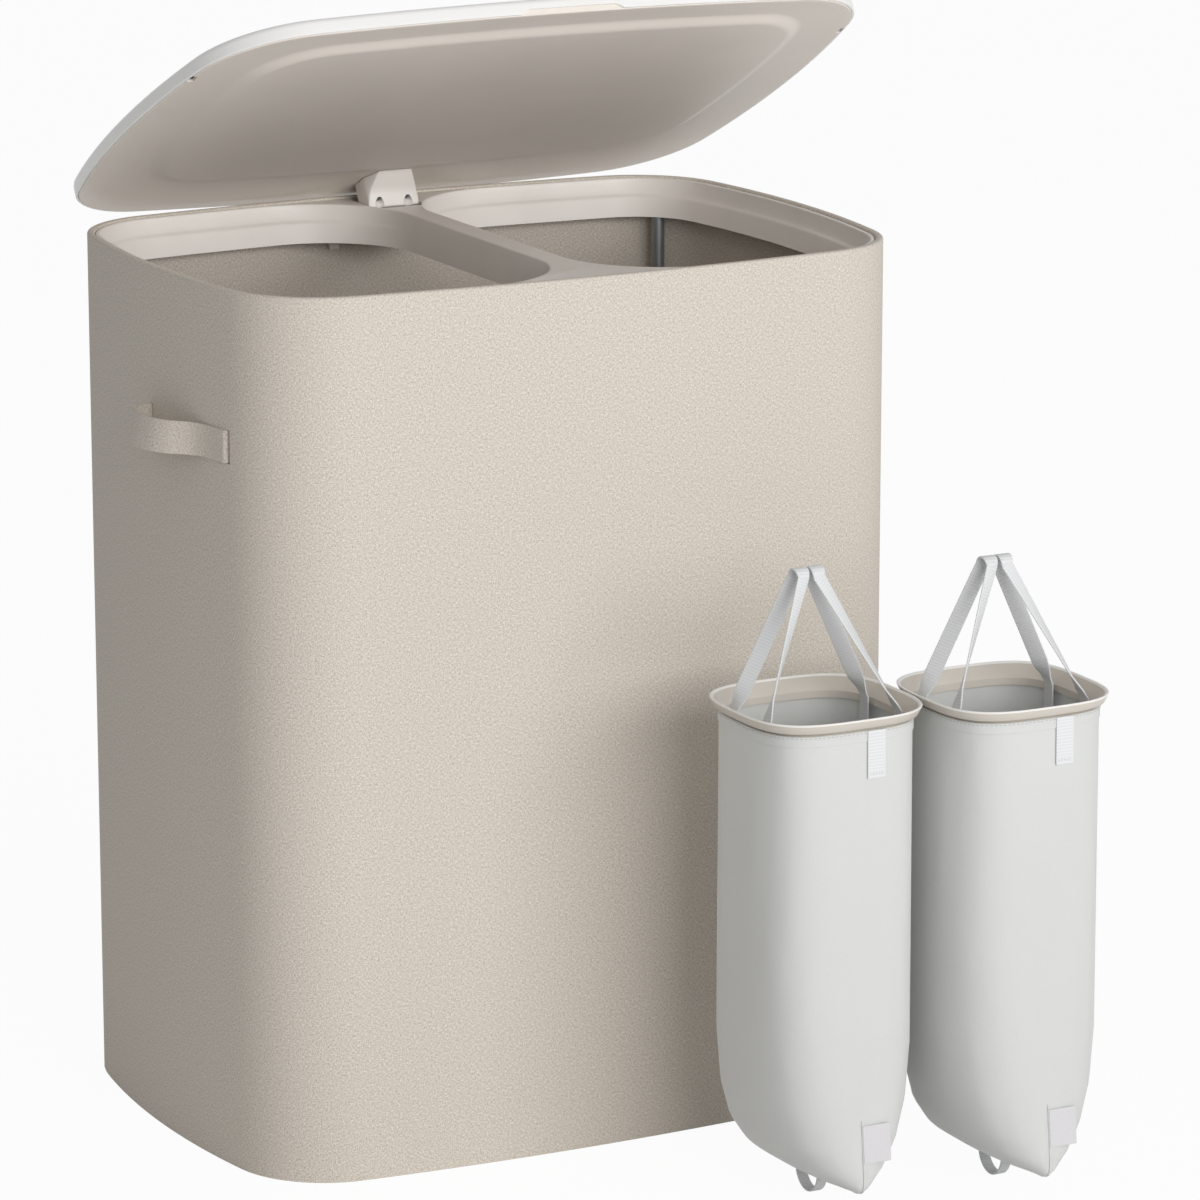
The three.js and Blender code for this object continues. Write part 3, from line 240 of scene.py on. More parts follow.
def moulded_finish(name, tone, shade, roughness, grain=0.9, depth=0.05):
    finish, tree, shader = new_finish(name, {"Roughness": roughness, "IOR": 1.49})
    two_tones(tree, shader, space_noise(tree, CLOUD_SIZE), shade, tone, 0.3, 0.7)
    grit = space_noise(tree, grain)
    satin = node(tree, "MapRange", {"Value": grit, "To Min": roughness - GLOSS_SPREAD,
                                    "To Max": roughness + GLOSS_SPREAD})
    tree.links.new(satin.outputs[0], shader.inputs["Roughness"])
    raised(tree, shader, grit, depth, 0.3)
    return finish


frame_plastic = moulded_finish("satin_moulded_frame", "#EAE5DF", "#E4DFD9", 0.42)
rim_plastic = moulded_finish("satin_moulded_rim", "#CEC7BD", "#C8C1B7", 0.42)
panel_plastic = moulded_finish("satin_moulded_panel", "#E5DDD4", "#E2DAD1", 0.46)
shell_plastic = moulded_finish("smooth_moulded_shell", "#F0EFED", "#EEEDEB", 0.33, 1.5, 0.02)
print("made", frame_plastic.name, rim_plastic.name, panel_plastic.name, shell_plastic.name)

# %% [markdown]
# A thin pale line is painted along the bags' rims as a highlight, where their rounded top edge
# catches the light. The rims are made upright, so their edge is what lies highest, and the height
# alone picks out that line.

# %% Painted highlight along the rims' edge
RIM_HEIGHT, HIGHLIGHT_BAND = 381, 1.1
tree = rim_plastic.node_tree
shader = tree.nodes["Principled BSDF"]
body_tone = shader.inputs["Base Color"].links[0].from_socket
place = node(tree, "TexCoord")
split = node(tree, "SeparateXYZ", {"Vector": place.outputs["Object"]})
# painted highlight: the rim's tone turns pale over the topmost band of its edge
highlight_from = RIM_HEIGHT - HIGHLIGHT_BAND
edge = node(tree, "MapRange", {"Value": split.outputs["Z"], "From Min": (highlight_from - 0.5) * MM,
                               "From Max": highlight_from * MM})
# a Mix node's sockets share their names, so the colours are linked by number
painted_highlight = node(tree, "Mix", {0: edge.outputs[0], 6: body_tone, 7: colour("#F1EFEB")},
             data_type="RGBA")
tree.links.new(painted_highlight.outputs[2], shader.inputs["Base Color"])
print("rims are pale above", highlight_from, "mm")

# %% [markdown]
# Tubes, pin and screws are steel with a thin zinc coat. Zinc is a soft grey metal, and drawing the
# tube leaves fine lines along it, which stretch the gloss.

# %% Zinc finish
LINE_WIDTH, LINE_LENGTH = 0.8, 40
zinc, tree, shader = new_finish("zinc_coated_steel", {"Roughness": 0.38, "Metallic": 0.9})
place = node(tree, "TexCoord")
scale = (1 / (LINE_WIDTH * MM), 1 / (LINE_WIDTH * MM), 1 / (LINE_LENGTH * MM))
drawn = node(tree, "Mapping", {"Vector": place.outputs["Object"], "Scale": scale})
lines = noise(tree, drawn.outputs[0], 1, 3)
two_tones(tree, shader, lines, "#8E9396", "#A7ABAD")
rub = node(tree, "MapRange", {"Value": lines, "To Min": 0.3, "To Max": 0.48})
tree.links.new(rub.outputs[0], shader.inputs["Roughness"])
raised(tree, shader, lines, 0.1, 0.1)
print("made", zinc.name)

# %% [markdown]
# The bags are sewn from a smooth plain-woven polyester with a thin coating. It is close to white,
# with a very fine even weave, and it gleams a little more than linen. Its soft waves come from a
# slow noise in the bump, as a full bag never hangs quite flat. Some light soaks through such thin
# cloth, so the inside of a bag and its shaded side stay pale.

# %% Bag cloth finish
bag_cloth, tree, shader = new_finish("coated_polyester_cloth", {
    "Roughness": 0.62, "Sheen Weight": 0.1, "Subsurface Weight": 0.6,
    "Subsurface Radius": (1, 1, 1), "Subsurface Scale": 3 * MM})
plain = weave_noise(tree, 1.1, 1.1, 2)
waves = weave_noise(tree, 34, 120, 1)
two_tones(tree, shader, plain, "#CCCDCB", "#D5D6D4")
fold = node(tree, "Bump", {"Height": waves, "Strength": 0.5, "Distance": 3 * MM})
raised(tree, shader, plain, 0.15, 0.3, Normal=fold.outputs["Normal"])
print("made", bag_cloth.name)

# %% [markdown]
# Webbing is a thick tape woven on a narrow loom. Its cross ribs are about 1 mm apart, and they are
# drawn 2.4 mm apart so that they show. The ribs run across the tape, so they follow the UV map's
# second axis, which runs along it. The labels are a smoother satin tape.

# %% Webbing and thread finishes
RIB_PITCH = 2.4
BANDS_PER_UNIT = 20 / (2 * math.pi)  # of the wave texture at a scale of 1
webbing, tree, shader = new_finish("woven_webbing", {"Roughness": 0.8, "Sheen Weight": 0.1})
weave = node(tree, "UVMap", uv_map="weave")
scale = 1 / (RIB_PITCH * MM) / BANDS_PER_UNIT
ribs = node(tree, "TexWave", {"Vector": weave.outputs[0], "Scale": scale, "Distortion": 0.2},
            bands_direction="Y").outputs["Fac"]
two_tones(tree, shader, ribs, "#D5D6D7", "#DEDFE0")
raised(tree, shader, ribs, 0.15, 0.4)

label_satin, tree, shader = new_finish("woven_satin_label", {"Roughness": 0.55})
satin = weave_noise(tree, 0.7, 1.6, 1)
two_tones(tree, shader, satin, "#C6C4C6", "#D7D5D7")
raised(tree, shader, satin, 0.3, 0.2)

thread, tree, shader = new_finish("spun_sewing_thread", {"Roughness": 0.7})
two_tones(tree, shader, space_noise(tree, 0.6), "#A3A3A0", "#B8B8B5")
print("made", webbing.name, label_satin.name, thread.name)

# %% [markdown]
# Most forms here are one outline carried along another. So each piece starts as a ring of points,
# which is extruded again and again, and every new ring moves to its own place. The skin also gets a
# UV map in metres, with the way round in U and the way along in V, so that weaves follow the cloth.

# %% Skin helper
SHARP_ANGLE = math.radians(32)


def as_piece(name, bm):
    bmesh.ops.recalc_face_normals(bm, faces=bm.faces)
    mesh = bpy.data.meshes.new(name)
    bm.to_mesh(mesh)
    bm.free()
    mesh.shade_smooth()
    mesh.set_sharp_from_angle(angle=SHARP_ANGLE)
    return added(name, mesh)


def unrolled(face, layer, whole):
    values = [vert[layer] for vert in face.verts]
    if max(values) - min(values) > whole / 2:
        values = [value + whole if value < whole / 2 else value for value in values]
    return values


def carried(bm, verts, loop):
    """Extrudes a closed loop, and gives its new points in the old ones' order."""
    made = bmesh.ops.extrude_edge_only(bm, edges=loop)["geom"]
    fresh = {part for part in made if isinstance(part, bmesh.types.BMVert)}
    after = [next(other for edge in vert.link_edges if (other := edge.other_vert(vert)) in fresh)
             for vert in verts]
    return after, [bm.edges.get(pair) for pair in zip(after, after[1:] + after[:1])]


def skin(name, rings, closed_along=False):
    rings = [[Vector(point) * MM for point in ring] for ring in rings]
    bm = bmesh.new()
    way_round = bm.verts.layers.float.new("way_round")
    way_along = bm.verts.layers.float.new("way_along")
    widest = max(rings, key=lambda ring: sum((a - b).length for a, b in zip(ring, ring[1:])))
    around = [0.0]
    for a, b in zip(widest, widest[1:] + widest[:1]):
        around.append(around[-1] + (b - a).length)
    along = [0.0]
    for ring, after in zip(rings, rings[1:] + rings[:1]):
        along.append(along[-1] + (after[0] - ring[0]).length)
    first = verts = [bm.verts.new(point) for point in rings[0]]
    first_loop = loop = [bm.edges.new(pair) for pair in zip(verts, verts[1:] + verts[:1])]
    for vert, distance in zip(verts, around):
        vert[way_round] = distance
    later = rings[1:] + rings[:1] if closed_along else rings[1:]
    for ring, reach in zip(later, along[1:]):
        verts, loop = carried(bm, verts, loop)
        for vert, point in zip(verts, ring):
            vert.co = point
            vert[way_along] = reach
    if closed_along:
        bmesh.ops.weld_verts(bm, targetmap=dict(zip(verts, first)))
    else:
        for end in (first_loop, loop):
            bmesh.ops.contextual_create(bm, geom=end)
    weave = bm.loops.layers.uv.new("weave")
    for face in bm.faces:
        if len(face.verts) > 4:
            places = [(vert.co.x, vert.co.y) for vert in face.verts]
        else:
            across = unrolled(face, way_round, around[-1])
            places = list(zip(across, unrolled(face, way_along, along[-1])))
        for corner, spot in zip(face.loops, places):
            corner[weave].uv = spot
    return as_piece(name, bm)


def dress(piece, finish, body, slot, *stands_for):
    piece.data.materials.clear()
    piece.data.materials.append(finish)
    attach(piece, body)
    if stands_for:
        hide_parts(*stands_for)
    print(piece.name, "has", len(piece.data.polygons), "faces")


def moved(piece, x, y):
    piece.data.transform(Matrix.Translation((x * MM, y * MM, 0)))
    return piece


# %% [markdown]
# The hamper's plan has four gently bowed sides and four round corners. Two circles carry each
# quarter, and the corner's circle touches both. The same plan, pulled in, gives every wall.

# %% Plan outlines
WIDTH, DEPTH, HEIGHT = 570, 414, 678
CORNER_RADIUS, FRONT_BOW, SIDE_BOW = 80, 20, 27
BODY_PLAN = (WIDTH, DEPTH, CORNER_RADIUS, FRONT_BOW, SIDE_BOW)
SIDE_STEPS, CORNER_STEPS, FRONT_STEPS, FILLET_STEPS = 12, 14, 16, 22
FIT_GAP = 0.3  # between pieces that fit into or lie on each other
OVERLAP = 5  # how far a form that cuts or joins another reaches past its surface
SIDES, ENDS = ((-1, "left"), (1, "right")), ((-1, "front"), (1, "back"))


def quarter(width, depth, corner, front_bow, side_bow):
    side_radius = (depth**2 / 4 + side_bow**2) / (2 * side_bow)
    front_radius = (width**2 / 4 + front_bow**2) / (2 * front_bow)
    side = Vector((width / 2 - side_radius, 0))
    front = Vector((0, depth / 2 - front_radius))
    between = front - side
    reach_s, reach_f = side_radius - corner, front_radius - corner
    along = (between.length_squared + reach_s**2 - reach_f**2) / (2 * between.length)
    across = math.sqrt(reach_s**2 - along**2)
    way = between.normalized()
    centre = side + way * along + Vector((-way.y, way.x)) * across
    start = math.atan2(centre.y - side.y, centre.x - side.x)
    end = math.atan2(centre.y - front.y, centre.x - front.x)
    return side, front, centre, side_radius, front_radius, start, end


def polar(angle, radius):
    return Vector((math.cos(angle), math.sin(angle))) * radius


def arc(centre, radius, start, end, steps):
    angles = [start + (end - start) * i / steps for i in range(steps + 1)]
    return [centre + polar(angle, radius) for angle in angles]


def doubled(upper):
    return upper + [Vector((p.x, -p.y)) for p in reversed(upper)][1:-1]


def bowed(plan, inset):
    side, front, centre, side_radius, front_radius, start, end = quarter(*plan)
    first = arc(side, side_radius - inset, 0, start, SIDE_STEPS)
    first += arc(centre, plan[2] - inset, start, end, CORNER_STEPS)[1:]
    first += arc(front, front_radius - inset, end, math.pi / 2, FRONT_STEPS)[1:]
    return doubled(first + [Vector((-p.x, p.y)) for p in reversed(first)][1:])


def level(outline, z):
    return [(p.x, p.y, z) for p in outline]


def body_ring(inset, z):
    return level(bowed(BODY_PLAN, inset), z)


def rounding(inset, z, radius, start, end, steps=6):
    """Rings that turn a wall's edge: the angle is 0 where the wall faces out and 90 on its top."""
    rings = []
    for i in range(steps + 1):
        angle = math.radians(start + (end - start) * i / steps)
        rings.append((inset + radius * (1 - math.cos(angle)), z + radius * math.sin(angle)))
    return rings


side, front, corner_centre, side_radius, front_radius, start, end = quarter(*BODY_PLAN)
print("side radius", round(side_radius), "front radius", round(front_radius))

# %% [markdown]
# Some pieces have holes or are joined from simple forms. Boolean modifiers do that work, and their
# result is applied to the mesh.

# %% Joining and cutting helper
def worked(piece, action, *tools):
    for tool in tools:
        change = piece.modifiers.new(action, "BOOLEAN")
        change.operation = action
        change.solver = "MANIFOLD"
        change.object = tool
    graph = bpy.context.evaluated_depsgraph_get()
    mesh = bpy.data.meshes.new_from_object(piece.evaluated_get(graph))
    piece.modifiers.clear()
    piece.data = mesh
    for tool in tools:
        bpy.data.objects.remove(tool)
    mesh.shade_smooth()
    mesh.set_sharp_from_angle(angle=SHARP_ANGLE)


def block(name, low, high):
    bm = bmesh.new()
    bmesh.ops.create_cube(bm, size=1)
    size = Vector(high) - Vector(low)
    bmesh.ops.scale(bm, vec=size * MM, verts=bm.verts)
    bmesh.ops.translate(bm, vec=(Vector(low) + size / 2) * MM, verts=bm.verts)
    return as_piece(name, bm)


def pulled(name, outline, z0, z1):
    return skin(name, [level(outline, z0), level(outline, z1)])


print("cutters reach", OVERLAP, "mm past what they cut")

# %% [markdown]
# The sleeve is one long strip of linen, sewn into a loop and folded over at the top. The fold is
# thick and soft, so its edge turns in a round. The wall is a closed shell: up the outside, over the
# hem and down the inside. Two slits in each side let the handle's ends through.

# %% Linen sleeve
WALL, HEM_WALL, HEM_DEPTH, HEM_TAPER, HEM_ROUND = 3, 6.2, 28, 4, 2
sleeve_section = [(0, 2), (0, HEIGHT / 3), (0, HEIGHT * 2 / 3)]
sleeve_section += rounding(0, HEIGHT - HEM_ROUND, HEM_ROUND, 0, 90)
sleeve_section += rounding(HEM_WALL, HEIGHT - HEM_ROUND, -HEM_ROUND, 0, -90)[::-1]
sleeve_section += [(HEM_WALL, HEIGHT - HEM_DEPTH), (WALL, HEIGHT - HEM_DEPTH - HEM_TAPER)]
sleeve_section += [(WALL, HEIGHT / 3), (WALL, 0.6), (WALL - 1, 0), (0.8, 0)]
sleeve = skin("linen_sleeve", [body_ring(inset, z) for inset, z in sleeve_section], True)
HANDLE_TOP, HANDLE_SPAN, HANDLE_WIDTH = HEIGHT - 105.5, 118, 25
HANDLE_SLIT, HANDLE_FORWARD, SLIT_DEPTH = 5.4, 68, 8


def handle_angle(along):
    return (along - HANDLE_SPAN / 2 - HANDLE_FORWARD) / side_radius


slits = []
for hand, _ in SIDES:
    for along in (0, HANDLE_SPAN):
        slit_foot = HANDLE_TOP - HANDLE_WIDTH - FIT_GAP
        slit = block("slit", (side_radius - SLIT_DEPTH, -HANDLE_SLIT / 2, slit_foot),
                     (side_radius + OVERLAP, HANDLE_SLIT / 2, HANDLE_TOP + FIT_GAP))
        angle = handle_angle(along) if hand > 0 else math.pi - handle_angle(along)
        spot = Matrix.Translation((hand * side.x * MM, 0, 0))
        slit.data.transform(spot @ Matrix.Rotation(angle, 4, "Z"))
        slits.append(slit)
worked(sleeve, "DIFFERENCE", *slits)
dress(sleeve, linen, "hamper", "linen", "fabric_body")

# %% [markdown]
# A flat cloth closes the sleeve's foot. It is a single layer, and its edge is hidden behind the
# sleeve, so a thin rounded disc in the plan's shape is enough.

# %% Bottom cloth
CLOTH, BOTTOM_INSET = 1.5, WALL + FIT_GAP
bottom_rings = [(BOTTOM_INSET + 0.4, 0.1), (BOTTOM_INSET, 0.5), (BOTTOM_INSET, CLOTH - 0.4),
                (BOTTOM_INSET + 0.4, CLOTH)]
bottom = skin("bottom_cloth", [body_ring(inset, z) for inset, z in bottom_rings])
dress(bottom, linen, "hamper", "linen", "fabric_bottom")
plan = bowed(BODY_PLAN, BOTTOM_INSET)

# %% [markdown]
# A steel tube stands in each corner. Tubes, pin and screws are turned forms: a profile of radius
# and height, carried round an axis. The tubes' profile goes up the outside and down the bore.

# %% Corner tubes
TUBE_INSET, TUBE_RADIUS, TUBE_WALL = 13.8, 5.5, 1
FRAME_TOP = HEIGHT - 1.5
FLANGE_FOOT = FRAME_TOP - 24.5
ROUND_STEPS, CHAMFER = 40, 0.3


def turned(name, profile, closed_along=False):
    turns = [2 * math.pi * i / ROUND_STEPS for i in range(ROUND_STEPS)]
    rings = [[(r * math.cos(a), r * math.sin(a), z) for a in turns] for r, z in profile]
    return skin(name, rings, closed_along)


tube_spot = corner_centre + polar((start + end) / 2, CORNER_RADIUS - TUBE_INSET)
tube_low, tube_high = 10.3, FLANGE_FOOT - FIT_GAP
bore = TUBE_RADIUS - TUBE_WALL
tube_profile = [(TUBE_RADIUS - CHAMFER, tube_low), (TUBE_RADIUS, tube_low + CHAMFER),
                (TUBE_RADIUS, HEIGHT / 2), (TUBE_RADIUS, tube_high - CHAMFER),
                (TUBE_RADIUS - CHAMFER, tube_high), (bore, tube_high),
                (bore, HEIGHT / 2), (bore, tube_low)]
for y, end_word in ENDS:
    for x, side_word in SIDES:
        corner = end_word + "_" + side_word
        tube = turned("steel_tube_" + corner, tube_profile, True)
        moved(tube, x * tube_spot.x, y * tube_spot.y)
        dress(tube, zinc, "hamper", "tube_steel", "corner_tube_" + corner)

# %% [markdown]
# The pin lies inside the back hem, just so low that the lid's underside clears the hem as it
# swings. That fixes the hinge's axis for the block, the frame's ears and the lid.

# %% Hinge pin
BLOCK_HALF, KNUCKLE, PIN_RADIUS, EAR = 22, 4, 1.8, 4
LID_LIFT, HINGE_GAP = 3.5, 0.7
PIN_HALF = BLOCK_HALF + HINGE_GAP + EAR
AXIS_INSET = HEM_WALL + FIT_GAP + KNUCKLE
AXIS_Y = DEPTH / 2 - AXIS_INSET
SWING_GAP = LID_LIFT - HINGE_GAP
AXIS_DROP = (AXIS_INSET**2 - SWING_GAP**2) / (2 * SWING_GAP)
AXIS_Z = HEIGHT - AXIS_DROP
axis = Vector((0, AXIS_Y, AXIS_Z)) * MM


def along_hinge(piece):
    piece.data.transform(Matrix.Translation(axis) @ Matrix.Rotation(math.pi / 2, 4, "Y"))
    return piece


pin = turned("steel_pin", [(PIN_RADIUS - CHAMFER, -PIN_HALF), (PIN_RADIUS, CHAMFER - PIN_HALF),
                           (PIN_RADIUS, PIN_HALF - CHAMFER), (PIN_RADIUS - CHAMFER, PIN_HALF)])
dress(along_hinge(pin), zinc, "hamper", "tube_steel", "hinge_pin")

# %% [markdown]
# The top frame is the most worked piece. It is one moulding: a flange inside the hem, a thin rolled
# lip, two mouths with sloped and stepped skirts, the divider and the hinge's pocket. Each simple
# form is skinned by itself, and Boolean modifiers join and cut them, as the mould's parts do.

# %% Mouth of a bin
LIP, LIP_ROUND, FRAME_WALL = 3.2, 1.5, 2.2
FRAME_INSET = HEM_WALL + 0.6
OPENING_INSET = FRAME_INSET + LIP
SLOPE_DEPTH, SLOPE, LEDGE_DEPTH, LEDGE, TAPER_DEPTH, TAPER = 13, 4.5, 1.2, 3, 15.3, 6
SKIRT_DEPTH = SLOPE_DEPTH + LEDGE_DEPTH + TAPER_DEPTH
DIVIDER, DIVIDER_TAPER, BIN_FILLET = 21, 1.2, 84


def mouth_outline(inset, half_divider, fillet, hand):
    fillet_x = half_divider + fillet
    reach = front_radius - inset - fillet
    centre = Vector((fillet_x, front.y + math.sqrt(reach**2 - fillet_x**2)))
    meet = math.atan2(centre.y - front.y, fillet_x)
    upper = arc(side, side_radius - inset, 0, start, SIDE_STEPS)
    upper += arc(corner_centre, CORNER_RADIUS - inset, start, end, CORNER_STEPS)[1:]
    upper += arc(front, front_radius - inset, end, meet, SIDE_STEPS)[1:]
    upper += arc(centre, fillet, meet, math.pi, FILLET_STEPS)[1:]
    upper += [Vector((half_divider, 0))]
    return [Vector((hand * p.x, p.y)) for p in doubled(upper)]


def mouth(name, levels, hand, grow):
    rings = []
    for depth, inward in levels:
        taper = DIVIDER_TAPER * max(0, depth) / SKIRT_DEPTH
        half = DIVIDER / 2 + min(inward, taper) - grow
        inset, fillet = OPENING_INSET + inward - grow, BIN_FILLET - inward / 2 + grow
        rings.append(level(mouth_outline(inset, half, fillet, hand), FRAME_TOP - depth))
    return skin(name, rings)


lip_curve = [(LIP_ROUND * (1 - math.sin(a)), -LIP_ROUND * (1 - math.cos(a)))
             for a in (math.radians(90 - 15 * i) for i in range(7))]
ledge_depth, ledge_inset = SLOPE_DEPTH + LEDGE_DEPTH, SLOPE + LEDGE
foot_inset = ledge_inset + TAPER
mouth_levels = [(-OVERLAP, lip_curve[0][1]), *lip_curve, (5, 1.3), (9, 2.8),
                (SLOPE_DEPTH - 1.6, SLOPE - 0.5), (SLOPE_DEPTH - 0.6, SLOPE + 0.2),
                (SLOPE_DEPTH, SLOPE + 1), (ledge_depth - 0.4, ledge_inset - 0.5),
                (ledge_depth + 0.2, ledge_inset), (ledge_depth + 1.4, ledge_inset + 0.5),
                (22, ledge_inset + 3), (SKIRT_DEPTH, foot_inset)]
print("lip turns through", len(lip_curve), "rings")

# %% Frame moulding
PLATE_ROUND = 0.8
plate_section = [(FRAME_INSET, FLANGE_FOOT)]
plate_section += rounding(FRAME_INSET, FRAME_TOP - PLATE_ROUND, PLATE_ROUND, 0, 90, 4)
top_frame = skin("frame_moulding", [body_ring(inset, z) for inset, z in plate_section])
hollow_plan = bowed(BODY_PLAN, FRAME_INSET + FRAME_WALL)
worked(top_frame, "DIFFERENCE", pulled("hollow", hollow_plan, FLANGE_FOOT - OVERLAP,
                                       FRAME_TOP - FRAME_WALL))
skirt_levels = [(depth, inward) for depth, inward in mouth_levels if depth >= LIP_ROUND]
joins = [mouth("skirt", skirt_levels, hand, FRAME_WALL) for hand, _ in SIDES]

BLOCK_LENGTH, BLOCK_FRONT_HALF, BLOCK_BEVEL = 33, 14, 15
BLOCK_SLOPE, BLOCK_FOOT, BLOCK_FOOT_BEVEL = 11.8, 8.5, 4
LID_UNDERSIDE = HEIGHT + LID_LIFT
ARM_REACH = math.hypot(AXIS_INSET, AXIS_DROP) + HINGE_GAP
BLOCK_FRONT = AXIS_Y - ARM_REACH - BLOCK_LENGTH
BLOCK_TOP = LID_UNDERSIDE - FIT_GAP
FACE_SLOPE = BLOCK_SLOPE / (BLOCK_TOP - AXIS_Z - BLOCK_FOOT)


def block_plan(grow, near, far):
    slant = (BLOCK_HALF - BLOCK_FRONT_HALF) / BLOCK_BEVEL
    bevel_end = BLOCK_FRONT + BLOCK_BEVEL
    half = BLOCK_HALF + grow
    right = [Vector((half - slant * (bevel_end - near), near - grow)), Vector((half, bevel_end)),
             Vector((half, far))]
    return right + [Vector((-p.x, p.y)) for p in reversed(right)]


POCKET_WALL, POCKET_FLOOR = 1.4, 2
pocket_foot = AXIS_Z - KNUCKLE - HINGE_GAP - POCKET_FLOOR
pocket_top = FRAME_TOP - PLATE_ROUND
pocket_front = BLOCK_FRONT + FACE_SLOPE * (BLOCK_TOP - FRAME_TOP)
pocket_back = DEPTH / 2 - FRAME_INSET - FIT_GAP
pocket_plan = block_plan(HINGE_GAP + POCKET_WALL, pocket_front, pocket_back)
joins.append(pulled("pocket", pocket_plan, pocket_foot, pocket_top))
joins.append(block("ears", (-PIN_HALF, AXIS_Y - 2 * KNUCKLE, pocket_foot),
                   (PIN_HALF, pocket_back, pocket_top)))
SPIGOT_LENGTH = 30
spigot = bore - FIT_GAP
spigot_profile = [(spigot - 1, FLANGE_FOOT - SPIGOT_LENGTH),
                  (spigot, FLANGE_FOOT - SPIGOT_LENGTH + 2), (spigot, FLANGE_FOOT),
                  (spigot + 1, FLANGE_FOOT), (spigot + 1, FLANGE_FOOT + 6)]
for x in (-tube_spot.x, tube_spot.x):
    for y in (-tube_spot.y, tube_spot.y):
        joins.append(moved(turned("spigot", spigot_profile), x, y))
HOOK_PLACE, HOOK_HALF, HOOK_LENGTH, HOOK_WALL, BARB = 36, 4, 15, 1.6, 4
hook_front = DEPTH / 2 - FRAME_INSET - FRAME_WALL
for x in (-HOOK_PLACE, HOOK_PLACE):
    foot = FLANGE_FOOT - HOOK_LENGTH
    joins.append(block("blade", (x - HOOK_HALF, hook_front, foot),
                       (x + HOOK_HALF, hook_front + HOOK_WALL, FLANGE_FOOT + OVERLAP)))
    joins.append(block("barb", (x - HOOK_HALF, hook_front - HOOK_WALL, foot),
                       (x + HOOK_HALF, hook_front + HOOK_WALL, foot + BARB)))
worked(top_frame, "UNION", *joins)
opening_levels = mouth_levels + [(SKIRT_DEPTH + OVERLAP, foot_inset)]
openings = [mouth("opening", opening_levels, hand, 0) for hand, _ in SIDES]
space = pulled("pocket_space", block_plan(HINGE_GAP, pocket_front, DEPTH / 2),
               pocket_foot + POCKET_FLOOR, FRAME_TOP + OVERLAP)


def drill(radius, low, high):
    return turned("drill", [(radius + FIT_GAP, low), (radius + FIT_GAP, high)])


pin_drill = along_hinge(drill(PIN_RADIUS, -PIN_HALF - FIT_GAP, PIN_HALF + FIT_GAP))
worked(top_frame, "DIFFERENCE", *openings, space, pin_drill)
dress(top_frame, frame_plastic, "hamper", "frame_plastic", "top_frame")

# %% [markdown]
# The lid is drawn shut and then turned about the hinge's axis to where it stands open. Its outer
# shell is a shallow bowl with a rolled edge, a slight crown and a finger notch at the front.

# %% Lid shell
LID_OPEN = math.radians(27.8)
lid_turn = Matrix.Translation(axis) @ Matrix.Rotation(-LID_OPEN, 4, "X") @ Matrix.Translation(-axis)
OVERHANG, BAND_TOP, LID_ROUND, CROWN = 2, LID_UNDERSIDE + 8, 5, 5
SHELL_WALL, EDGE_DROP, CROWN_STEPS = 2, 0.8, 16


def shell_skin(name, depth, foot, edge):
    inset, turn = depth - OVERHANG, LID_ROUND - depth
    section = [(inset + edge, foot), (inset, foot + edge)]
    section += rounding(inset, BAND_TOP, turn, 0, 90)
    rings = [body_ring(inset, z) for inset, z in section]
    crown = bowed(BODY_PLAN, LID_ROUND - OVERHANG)
    for i in range(1, CROWN_STEPS):
        share = 1 - i / CROWN_STEPS
        z = BAND_TOP + turn + CROWN * (1 - share**2)
        rings.append(level([p * share for p in crown], z))
    return skin(name, rings)


shell_edge = LID_UNDERSIDE + EDGE_DROP
lid_shell = shell_skin("lid_shell_moulding", 0, shell_edge, 0.7)
NOTCH_HALF, NOTCH_SLANT, NOTCH_RISE = 42, 5, 3.6
notch_shape = [(-NOTCH_HALF - OVERLAP, -OVERLAP), (NOTCH_HALF + OVERLAP, -OVERLAP),
               (NOTCH_HALF + 1, 0), (NOTCH_HALF - 0.6, 0.8),
               (NOTCH_HALF - NOTCH_SLANT + 1, NOTCH_RISE - 0.8),
               (NOTCH_HALF - NOTCH_SLANT - 2, NOTCH_RISE)]
notch_shape += [(-x, z) for x, z in reversed(notch_shape[2:])]
notch = skin("notch", [[(x, y - DEPTH / 2, z + shell_edge) for x, z in notch_shape]
                       for y in (-OVERLAP, OVERLAP)])
inside = shell_skin("inside", SHELL_WALL, shell_edge - OVERLAP, 0)
worked(lid_shell, "DIFFERENCE", inside, notch)
lid_shell.data.transform(lid_turn)
dress(lid_shell, shell_plastic, "lid", "shell_plastic", "lid_shell")

# %% [markdown]
# The panel closes the lid from below. Seen open it is the largest plastic face: a flat border, then
# a soft S-shaped bevel down to a raised field. One skin runs from the field's middle out over the
# border, round the edge, and back along the hidden side.

# %% Lid panel
FIELD_MARGIN, FIELD_SIDE_MARGIN, FIELD_GAP, FIELD_RISE, FIELD_BEVEL = 25, 43, 2.7, 4.2, 15
FIELD_CORNER, FIELD_BOW = 66, 15
FIELD_FRONT, FIELD_BACK = FIELD_MARGIN - DEPTH / 2, BLOCK_FRONT - FIELD_GAP
FIELD_PLAN = (WIDTH - 2 * FIELD_SIDE_MARGIN, FIELD_BACK - FIELD_FRONT, FIELD_CORNER, FIELD_BOW,
              FIELD_BOW)
PANEL_WALL, PANEL_RIM, PANEL_EDGE = 2.2, 6.5, 1.4
PANEL_INSET = SHELL_WALL - OVERHANG + FIT_GAP
BEVEL_STEPS, EDGE_STEPS = 12, 6


def field_ring(inset, z):
    shift = Vector((0, (FIELD_BACK + FIELD_FRONT) / 2))
    return level([p + shift for p in bowed(FIELD_PLAN, inset)], z)


def field_side(base, grow):
    shares = [i / BEVEL_STEPS for i in range(BEVEL_STEPS + 1)]
    return [field_ring(grow + FIELD_BEVEL * s, base - FIELD_RISE * s**2 * (3 - 2 * s))
            for s in shares]


